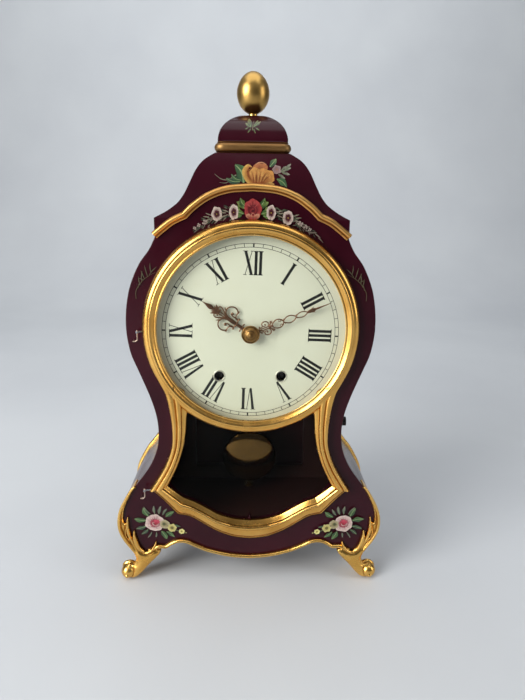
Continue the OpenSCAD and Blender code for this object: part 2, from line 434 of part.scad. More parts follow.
module hammer() color(STEEL) P() M(A_H) union() {
    rod(1.2, 14.4, 75, 32);
    rod(2.2, 40, 44);
    xz(40.6, 42.2) poly([[0, -1.1], [11.4, -4.4], [12.3, -3.5], [1, 1.6]]);
    rod(2.2, 72, 76);
    xz(73, 75) poly([[-0.9, -1.4], [1.1, 0.9], [-27.6, 32.6], [-29.2, 31]]);
    translate([-31, 74, 31]) rotate([0, 90, 0]) cylinder(r = 2.8, h = 11.6, $fn = 32);
}
module bell_stand() color(STEEL) P() M([-30, 30]) union() {
    cy(0, 0, 1.5, 44, 50, 32); cy(0, 0, 4, 48, 50.6, 32);
    xz(48.6, 50.6) poly([[0, -3.2], [-9.4, 1], [-9.4, 6], [0, 3.2]]);
    cy(-7, 3, 2, 50, 66, 32);
    cy(-7, 3, 3.4, 58.9, 60.4, 32);
}
module bell() color(BRASS) P() M([-37, 33]) translate([0, 60.5, 0]) rotate([-90, 0, 0]) difference() {
    rotate_extrude($fn = 96) poly([[2.05, 0], [4, 0], [12, 1.4], [19, 5], [23.4, 9.6], [25.4, 14], [26, 16.8], [24.8, 16.8], [24, 14.2], [22, 10.4], [18, 6.4], [11.6, 3], [4, 1.6], [2.05, 1.6]]);
}
module silence_knob() color(STEEL) P() translate([0, 30, 134]) rotate([0, 90, 0]) union() {
    translate([0, 0, 58]) cylinder(r = 1.6, h = 20, $fn = 32);
    translate([0, 0, 77.6]) cylinder(r = 2.2, h = 1.4, $fn = 32);
    translate([0, 0, 79]) cylinder(r = 3.9, h = 3, $fn = 48);
}
// ================= dial
module dial() color([0.93, 0.91, 0.80]) P() M([0, 0]) union() {
    xz(1.4, 2.6) difference() {
        circle(dial_r, $fn = 160);
        circle(4, $fn = 48);
        for (s = [-1, 1]) translate([s*24.2, -34.4]) circle(wind_hole_r, $fn = 48);
    }
    for (a = [100, 215, 325]) { p = pol(38, a); cy(p[0], p[1], 1.2, 2.5, 13.98, 24); }
}
// ================= door
// section of the bezel: radius and height in front of the board; the glass edge lies behind its inner lip
ring_prof = [[73.6, 0.4], [73.6, 5.5], [71, 5.5], [71, 6.1], [71.4, 6.6], [72.1, 6.6], [72.5, 6.1], [73, 6.1], [75, 8], [76.4, 8], [77, 7.1], [78.6, 6.8], [80.4, 5.2], [81.8, 3], [82.5, 2], [82.5, 0.4]];
module ring_disc(r) cy(0, DZ, r, -20, 10, 96);
module door_frame() color(GILT) P() difference() {
    union() {
        translate([0, 0, DZ]) rotate([90, 0, 0]) rotate_extrude($fn = 180) poly(ring_prof);
        difference() {
            union() {
                xz(-2.6, -0.4) step2d(out1, in1);
                xz(-5.4, -2.6) step2d(out2, in2);
                xz(-7.4, -5.4) step2d(out3, in3);
                translate([HX, HY - 1, 213.4]) cube([8, 2, 6]);
            }
            ring_disc(78);
        }
        // bent tabs that hold the glass against the lip
        for (k = [0:7]) translate([0, 0, DZ]) rotate([0, 22.5 + 45*k, 0]) translate([72, -3.85, -2]) cube([2, 0.7, 4]);
        translate([HX, HY, 213.4]) cylinder(r = 2, h = 6, $fn = 48);
        translate([HX, HY, 81.4]) cylinder(r = 2, h = 6, $fn = 48);
        translate([HX, HY - 1, 81.9]) cube([6.4, 3, 5]);
        cy(76.5, 246, 1.6, -1, 3.5, 24);
    }
    translate([HX, HY, 200]) cylinder(r = 0.85, h = 30, $fn = 32);
    translate([HX, HY, 70]) cylinder(r = 0.85, h = 30, $fn = 32);
}
module dial_glass() color([0.8, 0.9, 0.95, 0.3]) P() translate([0, 0, DZ]) rotate([90, 0, 0]) rotate_extrude($fn = 120)
    poly(concat([for (i = [0:10]) [7.08*i, 5.4 + glass_rise*(1 - i*i/100)]], [[73.4, 5.4], [73.4, 4], [70.8, 4]], [for (i = [9:-1:0]) [7.08*i, 4 + glass_rise*(1 - i*i/100)]]));
module pendulum_glass() color([0.8, 0.9, 0.95, 0.3]) P() xz(-0.3, 1.2) difference() {
    poly(sym1(concat([[49, 160]], off(leg_in, -1.6), off(rail_in, -1.6), off(rail_in2, -1.6))));
    disc(76.9);
}
// ================= back door
module back_door() color(LAC) P() difference() {
    xz(case_d + 0.4, case_d + 4.3) union() { translate([-58, 60]) square([116, 156]); disc(58, 216); }
    for (k = [0:5]) cy(14*cos(60*k), 216 + 14*sin(60*k), 3, 80, 100, 32);
    cy(0, 216, 3, 80, 100, 32);
}
module back_hinge_door_leaves() color(BRASS) P() for (z = [98, 226]) difference() {
    union() {
        translate([BHX, BHY, z - 2.8]) cube([12, 1, 5.6]);
        translate([BHX, BHY, z - 2.8]) cylinder(r = 2, h = 5.6, $fn = 48);
    }
    translate([BHX, BHY, z - 5]) cylinder(r = 0.95, h = 10, $fn = 32);
}
module turn_button() color(BRASS) P() translate([64.5, 0, 150]) union() {
    cy(0, 0, 3, case_d + 0.05, case_d + 4.7, 32);
    xz(case_d + 4.7, case_d + 6.4) union() { circle(4, $fn = 32); translate([-3.4, 0]) square([6.8, 11]); translate([0, 11]) circle(3.4, $fn = 32); }
}

front_board();
left_side_panel();
right_side_panel();
base_board();
back_frame();
hood();
cap_dome();
cap_moulding();
finial_stem();
egg_finial();
hood_moulding();
apron_moulding();
left_front_leg();
right_front_leg();
rear_feet();
rear_mouldings();
front_hinge_hooks();
back_hinge_case_leaves();
movement_shelf();
movement_screws();
dial();
front_plate();
back_plate();
pillars();
pillar_nuts();
pendulum_cock();
bell_stand();
bell();
door_frame();
dial_glass();
pendulum_glass();
back_door();
back_hinge_door_leaves();
turn_button();
minute_hand();
hand_nut();
cannon_pinion();
minute_wheel();
hour_wheel();
hour_hand();
time_barrel();
time_winding_arbor();
second_wheel();
centre_wheel();
third_wheel();
escape_wheel();
anchor();
suspension_spring();
pendulum_rod();
pendulum_bob();
rating_nut();
strike_barrel();
strike_winding_arbor();
pin_wheel();
warning_wheel();
fly();
hammer();
silence_knob();
time_click();
strike_click();
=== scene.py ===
import math
import random

import bmesh
import bpy
import numpy as np
from mathutils import Matrix, Vector
from mathutils.geometry import tessellate_polygon


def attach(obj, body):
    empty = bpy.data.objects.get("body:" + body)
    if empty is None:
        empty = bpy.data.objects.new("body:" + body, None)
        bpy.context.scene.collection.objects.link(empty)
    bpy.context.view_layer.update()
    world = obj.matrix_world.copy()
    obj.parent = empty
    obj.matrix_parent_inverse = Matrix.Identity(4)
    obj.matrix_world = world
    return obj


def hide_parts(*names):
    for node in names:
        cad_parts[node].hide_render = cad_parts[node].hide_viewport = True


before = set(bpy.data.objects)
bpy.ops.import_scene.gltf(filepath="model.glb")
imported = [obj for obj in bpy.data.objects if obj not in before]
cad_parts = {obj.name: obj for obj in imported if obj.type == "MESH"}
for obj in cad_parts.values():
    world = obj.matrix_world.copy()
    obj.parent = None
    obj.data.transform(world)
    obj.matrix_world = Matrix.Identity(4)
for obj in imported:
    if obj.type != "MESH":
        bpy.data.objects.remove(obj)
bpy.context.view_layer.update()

R = random.Random(11)
PI = math.pi

# all making below is in millimetres: x to the right, y from the front board's face backwards, z up.
# W takes such a point into the frame, where the clock is centred and in metres.
FY = -40.0
MX, MZ, DZ = -0.6, 217.6, 220.0


def W(p):
    return (p[0] / 1000.0, (p[1] + FY) / 1000.0, p[2] / 1000.0)


# ------------------------------------------------------------------ curves
def spl(p, n=8):
    P = [np.array(q, float) for q in p]
    out = []
    for i in range(len(P) - 1):
        a, b, c, d = P[max(i - 1, 0)], P[i], P[i + 1], P[min(i + 2, len(P) - 1)]
        for k in range(n):
            t = k / n
            out.append(0.5 * (2 * b + (c - a) * t + (2 * a - 5 * b + 4 * c - d) * t * t + (3 * b - a - 3 * c + d) * t ** 3))
    out.append(P[-1])
    return np.array(out)


def resample(p, n):
    p = np.asarray(p, float)
    s = np.concatenate([[0], np.cumsum(np.linalg.norm(np.diff(p, axis=0), axis=1))])
    q = np.linspace(0, s[-1], n)
    return np.stack([np.interp(q, s, p[:, k]) for k in range(p.shape[1])], 1)


def mirx(p):
    q = np.array(p, float)[::-1].copy()
    q[:, 0] *= -1
    return q


def sym0(p):
    return np.concatenate([mirx(p)[:-1], p])


def sym1(p):
    return np.concatenate([p, mirx(p)[1:]])


def normals(p, closed=False):
    """Mitred normals in the plane of the path, to the right of its travel."""
    p = np.asarray(p, float)
    n = len(p)
    out = np.zeros_like(p)
    for i in range(n):
        a = p[(i - 1) % n] if closed or i > 0 else p[i]
        b = p[(i + 1) % n] if closed or i < n - 1 else p[i]
        d1, d2 = p[i] - a, b - p[i]
        l1, l2 = np.linalg.norm(d1), np.linalg.norm(d2)
        d1 = d1 / l1 if l1 > 1e-9 else d2 / l2
        d2 = d2 / l2 if l2 > 1e-9 else d1
        n1, n2 = np.array([d1[1], -d1[0]]), np.array([d2[1], -d2[0]])
        m = n1 + n2
        m /= max(np.linalg.norm(m), 1e-9)
        out[i] = m / max(m @ n1, 0.5)
    return out


def off(p, d, closed=False):
    return np.asarray(p, float) + normals(p, closed) * d


# outlines shared with the model
SIDE = [[70.4, 289.5], [75.2, 280], [83.2, 269], [90, 254], [93.4, 240], [94.8, 226], [94.4, 214], [92, 200.5], [86.5, 186], [79.5, 167.5], [75, 152],
        [73.4, 138], [74.5, 124], [78.5, 112], [84, 102], [91.2, 92], [97, 84.5], [102.3, 75.5], [106.6, 66.5], [108.6, 58], [108, 48], [104, 38.5]]
side = spl(SIDE, 6)
apron = np.concatenate([spl([[92, 28.5], [87, 28], [82, 29], [77.5, 31.8]], 5), spl([[76, 32], [70.5, 31.8], [66, 34.8], [60, 37.2], [53, 36.6], [44, 32.2], [33, 27.6], [16, 23.4], [0, 22]], 6)])
arch = np.concatenate([spl([[0, 324.3], [17.5, 322.8], [31.5, 318], [42, 311], [47.6, 305.9]], 8), spl([[49, 304.4], [58.6, 299.8], [70.4, 290.6]], 8)])
HOOD = [[70.5, 302.4], [60.7, 307.8], [52, 315], [46, 323.6], [41.2, 333.2], [35.8, 341], [27.2, 348.6]]
HOODY = [[-2, 302.4], [0.6, 307.8], [3.6, 315], [6.4, 323.6], [9, 333.2], [11.6, 341], [15, 348.6]]
hood = spl(HOOD, 6)
hoody = spl(HOODY, 6)
dome = spl([[25.6, 356.4], [25.2, 360.4], [23, 366], [18.6, 371.2], [12, 375.4], [5, 377.4], [0, 377.6]], 6)


def hood_y(z):
    return float(np.interp(z, [290] + list(hoody[:, 1]), [-2] + list(hoody[:, 0])))


def dome_y(z):
    return 42 - float(np.interp(z, dome[:, 1], dome[:, 0]))


# ------------------------------------------------------------------ materials
def srgb(r, g, b):
    def f(c):
        c /= 255.0
        return c / 12.92 if c <= 0.04045 else ((c + 0.055) / 1.055) ** 2.4
    return (f(r), f(g), f(b), 1.0)


class Mat:
    def __init__(self, name):
        self.m = bpy.data.materials.new(name)
        self.m.use_nodes = True
        self.t = self.m.node_tree
        self.t.nodes.clear()
        self.out = self.t.nodes.new("ShaderNodeOutputMaterial")
        self.b = self.t.nodes.new("ShaderNodeBsdfPrincipled")
        self.t.links.new(self.b.outputs[0], self.out.inputs[0])
        tc = self.t.nodes.new("ShaderNodeTexCoord")
        self.co = tc.outputs["Object"]
        self.m.diffuse_color = (0.5, 0.5, 0.5, 1)

    def set(self, **kw):
        for k, v in kw.items():
            self.b.inputs[k.replace("_", " ")].default_value = v
        return self

    def link(self, a, b):
        self.t.links.new(a, b)

    def stretch(self, sx, sy, sz, src=None):
        n = self.t.nodes.new("ShaderNodeMapping")
        n.inputs["Scale"].default_value = (sx, sy, sz)
        self.link(src or self.co, n.inputs["Vector"])
        return n.outputs[0]

    def noise(self, scale, detail=3.0, rough=0.5, vec=None, distort=0.0):
        n = self.t.nodes.new("ShaderNodeTexNoise")
        n.inputs["Scale"].default_value = scale
        n.inputs["Detail"].default_value = detail
        n.inputs["Roughness"].default_value = rough
        n.inputs["Distortion"].default_value = distort
        self.link(vec or self.co, n.inputs["Vector"])
        return n.outputs["Fac"]

    def ramp(self, fac, stops):
        n = self.t.nodes.new("ShaderNodeValToRGB")
        e = n.color_ramp.elements
        while len(e) < len(stops):
            e.new(0.5)
        for i, (p, c) in enumerate(stops):
            e[i].position = p
            e[i].color = c
        self.link(fac, n.inputs[0])
        return n.outputs[0]

    def rng(self, fac, a, b, c, d):
        n = self.t.nodes.new("ShaderNodeMapRange")
        for k, v in zip(("From Min", "From Max", "To Min", "To Max"), (a, b, c, d)):
            n.inputs[k].default_value = v
        self.link(fac, n.inputs["Value"])
        return n.outputs[0]

    def math(self, op, a, b):
        n = self.t.nodes.new("ShaderNodeMath")
        n.operation = op
        n.use_clamp = op in ("MULTIPLY", "ADD", "SUBTRACT")
        for i, v in enumerate((a, b)):
            if isinstance(v, (int, float)):
                n.inputs[i].default_value = v
            else:
                self.link(v, n.inputs[i])
        return n.outputs[0]

    def mix(self, fac, a, b):
        n = self.t.nodes.new("ShaderNodeMix")
        n.data_type = "RGBA"
        self.link(fac, n.inputs["Factor"])
        for k, v in ((6, a), (7, b)):
            if isinstance(v, tuple):
                n.inputs[k].default_value = v
            else:
                self.link(v, n.inputs[k])
        return n.outputs[2]

    def attr(self, name="cav"):
        n = self.t.nodes.new("ShaderNodeAttribute")
        n.attribute_name = name
        s = self.t.nodes.new("ShaderNodeSeparateColor")
        self.link(n.outputs["Color"], s.inputs[0])
        return s.outputs[0], s.outputs[1], s.outputs[2]

    def color(self, sock):
        self.link(sock, self.b.inputs["Base Color"])

    def rough(self, sock):
        self.link(sock, self.b.inputs["Roughness"])

    def bump(self, height, strength, dist, prev=None):
        n = self.t.nodes.new("ShaderNodeBump")
        n.inputs["Strength"].default_value = strength
        n.inputs["Distance"].default_value = dist
        self.link(height, n.inputs["Height"])
        if prev is not None:
            self.link(prev, n.inputs["Normal"])
        self.link(n.outputs[0], self.b.inputs["Normal"])
        return n.outputs[0]


def lacquer_mat():
    m = Mat("lacquer")
    big = m.noise(14, 4, 0.55)
    base = m.ramp(big, [(0.3, srgb(38, 4, 14)), (0.55, srgb(46, 8, 19)), (0.8, srgb(54, 12, 24))])
    cav, edge, _ = m.attr()
    worn = m.math("MULTIPLY", m.rng(edge, 0.35, 0.95, 0, 1), m.rng(m.noise(210, 3, 0.6), 0.5, 0.66, 0, 0.5))
    m.color(m.mix(worn, base, srgb(96, 44, 36)))
    m.rough(m.rng(m.math("ADD", m.math("MULTIPLY", m.noise(45, 5, 0.6), 0.7), m.math("MULTIPLY", m.noise(900, 2), 0.3)), 0.3, 0.75, 0.15, 0.3))
    b = m.bump(m.noise(240, 2, 0.5), 0.04, 0.0003)
    m.bump(m.noise(28, 2), 0.03, 0.003, b)
    m.set(Coat_Weight=0.05, Coat_Roughness=0.08, Specular_IOR_Level=0.2)
    return m.m


# The low colour is painted shade: hollows of the gilt turn towards it, as far as the last argument allows.
def gilt_mat(name="gilt", light=(232, 186, 100), mid=(210, 156, 70), low=(112, 62, 22), rough=(0.21, 0.3), hollow_shade_weight=1.0):
    m = Mat(name)
    cav, edge, rnd = m.attr()
    n = m.noise(38, 4, 0.6)
    base = m.ramp(n, [(0.3, srgb(*mid)), (0.7, srgb(*light))])
    # Paler gold on the raised edges.
    edge_paler = m.mix(m.math("MULTIPLY", edge, 0.25), base, srgb(248, 216, 142))
    # Painted shade: hollows, found by the cav attribute, turn towards the low colour, a little varied by noise.
    darkening = m.math("MULTIPLY", m.rng(cav, 0.2, 0.9, 0, 1), m.rng(m.noise(60, 3), 0.3, 0.65, 0.6 * hollow_shade_weight, 0.85 * hollow_shade_weight))
    m.color(m.mix(darkening, edge_paler, srgb(*low)))
    grain = m.noise(120, 3, 0.55)
    m.rough(m.math("ADD", m.rng(grain, 0.3, 0.7, rough[0], rough[1]), m.math("MULTIPLY", m.rng(cav, 0.2, 0.9, 0, 1), 0.12)))
    m.bump(m.noise(45, 2, 0.5), 0.03, 0.0005)
    m.set(Metallic=1.0)
    return m.m


def metal_mat(name, c1, c2, r1=0.2, r2=0.38, darkening=(70, 55, 35), fine=700, spec=None, stretch=None):
    m = Mat(name)
    vec = m.stretch(*stretch) if stretch else None
    n = m.noise(60, 4, 0.6)
    col = m.ramp(n, [(0.3, srgb(*c1)), (0.72, srgb(*c2))])
    spots = m.rng(m.noise(150, 4, 0.65), 0.58, 0.75, 0, 0.55)
    m.color(m.mix(spots, col, srgb(*darkening)))
    g = m.noise(fine, 3, 0.6, vec)
    m.rough(m.rng(g, 0.3, 0.7, r1, r2))
    m.bump(g, 0.12, 0.00008)
    m.set(Metallic=1.0)
    return m.m


def turned_mat(name, cx, cz, c1, c2, r1=0.16, r2=0.3, ax=1, k=2600.0):
    """Metal turned on a lathe: fine rings round an axis, along y (ax 1) or z (ax 2)."""
    m = Mat(name)
    mp = m.t.nodes.new("ShaderNodeMapping")
    mp.inputs["Location"].default_value = (-cx / 1000, 0, -cz / 1000) if ax == 1 else (-cx / 1000, -cz / 1000, 0)
    mp.inputs["Scale"].default_value = (1, 0, 1) if ax == 1 else (1, 1, 0)
    m.link(m.co, mp.inputs["Vector"])
    ln = m.t.nodes.new("ShaderNodeVectorMath")
    ln.operation = "LENGTH"
    m.link(mp.outputs[0], ln.inputs[0])
    cb = m.t.nodes.new("ShaderNodeCombineXYZ")
    m.link(ln.outputs["Value"], cb.inputs[0])
    rings = m.noise(k, 3, 0.6, cb.outputs[0])
    col = m.ramp(m.noise(45, 4, 0.6), [(0.3, srgb(*c1)), (0.72, srgb(*c2))])
    m.color(m.mix(m.rng(m.noise(160, 4, 0.65), 0.6, 0.78, 0, 0.5), col, srgb(90, 64, 34)))
    m.rough(m.rng(rings, 0.3, 0.7, r1, r2))
    m.bump(rings, 0.12, 0.00006)
    m.set(Metallic=1.0)
    return m.m


def dial_mat():
    m = Mat("dial_enamel")
    n = m.noise(9, 3, 0.5)
    base = m.ramp(n, [(0.3, srgb(222, 220, 196)), (0.7, srgb(230, 228, 208))])
    age = m.rng(m.noise(70, 5, 0.6), 0.55, 0.8, 0, 0.2)
    m.color(m.mix(age, base, srgb(214, 206, 172)))
    m.rough(m.rng(m.noise(400, 3), 0.3, 0.7, 0.34, 0.46))
    m.bump(m.noise(160, 2), 0.03, 0.0003)
    m.set(Coat_Weight=0.15, Coat_Roughness=0.2)
    return m.m


def ink_mat():
    m = Mat("dial_ink")
    n = m.noise(800, 3, 0.6)
    m.color(m.ramp(n, [(0.3, srgb(14, 14, 14)), (0.75, srgb(34, 32, 30))]))
    m.rough(m.rng(m.noise(300, 2), 0.3, 0.7, 0.35, 0.5))
    m.bump(n, 0.1, 0.00003)
    return m.m


def bronze_mat():
    m = Mat("hand_bronze")
    cav, edge, _ = m.attr()
    n = m.noise(130, 4, 0.6)
    base = m.ramp(n, [(0.3, srgb(74, 52, 38)), (0.62, srgb(116, 82, 66)), (0.85, srgb(158, 118, 100))])
    m.color(m.mix(m.math("MULTIPLY", edge, 0.35), base, srgb(176, 130, 96)))
    m.rough(m.rng(m.noise(600, 2), 0.3, 0.7, 0.3, 0.48))
    m.bump(m.noise(700, 2), 0.1, 0.00008)
    m.set(Metallic=0.85)
    return m.m


def boss_mat():
    m = Mat("boss_bronze")
    cav, edge, _ = m.attr()
    n = m.noise(160, 4, 0.6)
    base = m.ramp(n, [(0.3, srgb(132, 94, 52)), (0.7, srgb(186, 144, 88))])
    # Painted shade: hollows, found by the cav attribute, turn dark brown.
    m.color(m.mix(m.rng(cav, 0.1, 0.7, 0, 0.9), base, srgb(52, 34, 16)))
    m.rough(m.rng(m.noise(500, 3), 0.3, 0.7, 0.28, 0.45))
    m.bump(m.noise(420, 3), 0.15, 0.0002)
    m.set(Metallic=0.9)
    return m.m


def wood_mat(name, c1, c2, r=(0.42, 0.6), axis="z", coat=0.0):
    m = Mat(name)
    st = {"z": (9, 9, 1), "x": (1, 9, 9)}[axis]
    v = m.stretch(*st)
    grain = m.noise(22, 5, 0.65, v, 0.6)
    fine = m.noise(160, 3, 0.6, v)
    col = m.ramp(grain, [(0.28, srgb(*c1)), (0.5, srgb(*[(a + b) / 2 for a, b in zip(c1, c2)])), (0.72, srgb(*c2))])
    pores = m.rng(fine, 0.6, 0.72, 0, 0.6)
    m.color(m.mix(pores, col, srgb(*[a * 0.45 for a in c1])))
    m.rough(m.rng(fine, 0.3, 0.7, r[0], r[1]))
    b = m.bump(fine, 0.25, 0.0003)
    m.bump(grain, 0.12, 0.0006, b)
    m.set(Specular_IOR_Level=0.28)
    if coat:
        m.set(Coat_Weight=coat, Coat_Roughness=0.2)
    return m.m


def pane_mat(name):
    """Thin pane: mostly clear, with a gloss that grows at a grazing angle."""
    m = Mat(name)
    t = m.t
    m.b.inputs["Base Color"].default_value = (0.02, 0.022, 0.021, 1)
    m.rough(m.rng(m.noise(24, 4, 0.6), 0.45, 0.8, 0.012, 0.05))
    m.bump(m.noise(16, 2), 0.012, 0.002)
    m.set(IOR=1.5)
    tr = t.nodes.new("ShaderNodeBsdfTransparent")
    tr.inputs[0].default_value = (0.955, 0.97, 0.96, 1)
    fr = t.nodes.new("ShaderNodeLayerWeight")
    fr.inputs["Blend"].default_value = 0.5
    mx = t.nodes.new("ShaderNodeMixShader")
    sc = m.rng(m.math("POWER", fr.outputs["Facing"], 4.5), 0.0, 1.0, 0.03, 1.0)
    t.links.new(sc, mx.inputs[0])
    t.links.new(tr.outputs[0], mx.inputs[1])
    t.links.new(m.b.outputs[0], mx.inputs[2])
    lp = t.nodes.new("ShaderNodeLightPath")
    m2 = t.nodes.new("ShaderNodeMixShader")
    t.links.new(lp.outputs["Is Shadow Ray"], m2.inputs[0])
    t.links.new(mx.outputs[0], m2.inputs[1])
    t.links.new(tr.outputs[0], m2.inputs[2])
    t.links.new(m2.outputs[0], m.out.inputs[0])
    return m.m


def paint_mat():
    m = Mat("flower_paint")
    n = m.t.nodes.new("ShaderNodeAttribute")
    n.attribute_name = "Col"
    streak = m.noise(420, 4, 0.65)
    hs = m.t.nodes.new("ShaderNodeHueSaturation")
    m.link(n.outputs["Color"], hs.inputs["Color"])
    m.link(m.rng(streak, 0.25, 0.75, 0.55, 0.98), hs.inputs["Value"])
    m.color(hs.outputs[0])
    m.rough(m.rng(streak, 0.3, 0.7, 0.26, 0.42))
    m.bump(streak, 0.25, 0.00012)
    m.set(Coat_Weight=0.15, Coat_Roughness=0.15)
    return m.m


LAC = lacquer_mat()
GILT = gilt_mat()
RING = gilt_mat("gilt_bezel", (232, 182, 98), (206, 150, 70), (118, 66, 24), (0.2, 0.29), 0.3)
MOULD = gilt_mat("gilt_moulding", (220, 168, 92), (192, 136, 68), (110, 64, 28), (0.32, 0.44), 0.6)
CAPM = gilt_mat("gilt_cap_moulding", (116, 76, 43), (97, 61, 33), (60, 34, 16), (0.4, 0.52))
BRASS = metal_mat("brass", (190, 150, 78), (222, 184, 104), 0.2, 0.38, (110, 78, 34), stretch=(1, 1, 9))
# Painted shade: the pendulum rod and rating nut get a darkened brass so that they look as if they lie in the case's
# shade.
SHADE_DARK_BRASS = metal_mat("brass_darkened_as_shade", (70, 52, 30), (96, 74, 42), 0.34, 0.5, (44, 32, 20), stretch=(1, 1, 9))
PLATE = metal_mat("brass_plate", (188, 150, 82), (214, 178, 104), 0.24, 0.42, (112, 82, 40), stretch=(12, 1, 1))
WIREP = metal_mat("pale_wire", (150, 128, 112), (196, 176, 160), 0.24, 0.4, (80, 56, 44))
STEEL = metal_mat("steel", (122, 124, 128), (158, 160, 162), 0.22, 0.42, (74, 66, 58))
BLUED = metal_mat("dark_steel", (38, 36, 36), (66, 62, 60), 0.28, 0.48, (30, 22, 16))
# Painted shade: the bob's brass is darkened so that its reflections look dim, as inside the shaded case.
BOB = turned_mat("bob_brass", MX, 88.8, (100, 72, 38), (132, 100, 57), 0.07, 0.15)
BELL = turned_mat("bell_metal", MX - 37, MZ + 33, (150, 128, 92), (184, 162, 122), 0.2, 0.34)
EGG = turned_mat("egg_gilt", 0, 2, (172, 136, 74), (198, 160, 92), 0.26, 0.36, 2, 300.0)
DIAL = dial_mat()
INK = ink_mat()
HANDM = bronze_mat()
BOSS = boss_mat()
INNER = wood_mat("inner_wood", (34, 14, 13), (52, 24, 20))
BACKD = wood_mat("back_door_wood", (38, 10, 14), (58, 20, 22), (0.4, 0.55), "z", 0.12)
GLASS = pane_mat("dial_glass_clear")
PANE = pane_mat("window_glass_clear")
PAINT = paint_mat()


# ------------------------------------------------------------------ meshes
def curv(me, scale=0.5, rounds=2):
    """Colour attribute: how hollow (red) or raised (green) the surface is, in size of bend per millimetre."""
    bm = bmesh.new()
    bm.from_mesh(me)
    bm.verts.ensure_lookup_table()
    n = len(bm.verts)
    s = np.zeros(n)
    c = np.zeros(n)
    ea = np.zeros((len(bm.edges), 2), int)
    for i, e in enumerate(bm.edges):
        a, b = e.verts[0].index, e.verts[1].index
        ea[i] = (a, b)
        if len(e.link_faces) == 2:
            f, g = e.link_faces
            d = max((f.calc_center_median() - g.calc_center_median()).length * 1000, 0.15)
            k = e.calc_face_angle_signed(0.0) / d
            for v in (a, b):
                s[v] += k
                c[v] += 1
    k = s / np.maximum(c, 1)
    deg = np.bincount(ea.ravel(), minlength=n).astype(float)
    for _ in range(rounds):
        t = np.zeros(n)
        np.add.at(t, ea[:, 0], k[ea[:, 1]])
        np.add.at(t, ea[:, 1], k[ea[:, 0]])
        k = 0.5 * k + 0.5 * t / np.maximum(deg, 1)
    bm.free()
    col = np.zeros((n, 4), np.float32)
    col[:, 0] = np.clip(-k / scale, 0, 1)
    col[:, 1] = np.clip(k / scale, 0, 1)
    col[:, 3] = 1
    at = me.color_attributes.get("cav") or me.color_attributes.new("cav", "FLOAT_COLOR", "POINT")
    at.data.foreach_set("color", col.ravel())


def finish_mesh(name, me, mat, body, reps=(), sharp=35, cav=None, toward=None):
    bm = bmesh.new()
    bm.from_mesh(me)
    bmesh.ops.remove_doubles(bm, verts=bm.verts, dist=1e-7)
    bmesh.ops.dissolve_degenerate(bm, dist=1e-7, edges=bm.edges)
    bmesh.ops.recalc_face_normals(bm, faces=bm.faces)
    if toward is not None:
        t = Vector(toward)
        if sum(f.normal.dot(t) * f.calc_area() for f in bm.faces) < 0:
            bmesh.ops.reverse_faces(bm, faces=bm.faces)
    bm.to_mesh(me)
    bm.free()
    for p in me.polygons:
        p.use_smooth = True
    me.set_sharp_from_angle(angle=math.radians(sharp))
    if cav:
        curv(me, *cav)
    o = bpy.data.objects.new(name, me)
    bpy.context.scene.collection.objects.link(o)
    me.materials.append(mat)
    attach(o, body)
    if reps:
        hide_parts(*reps)
    return o


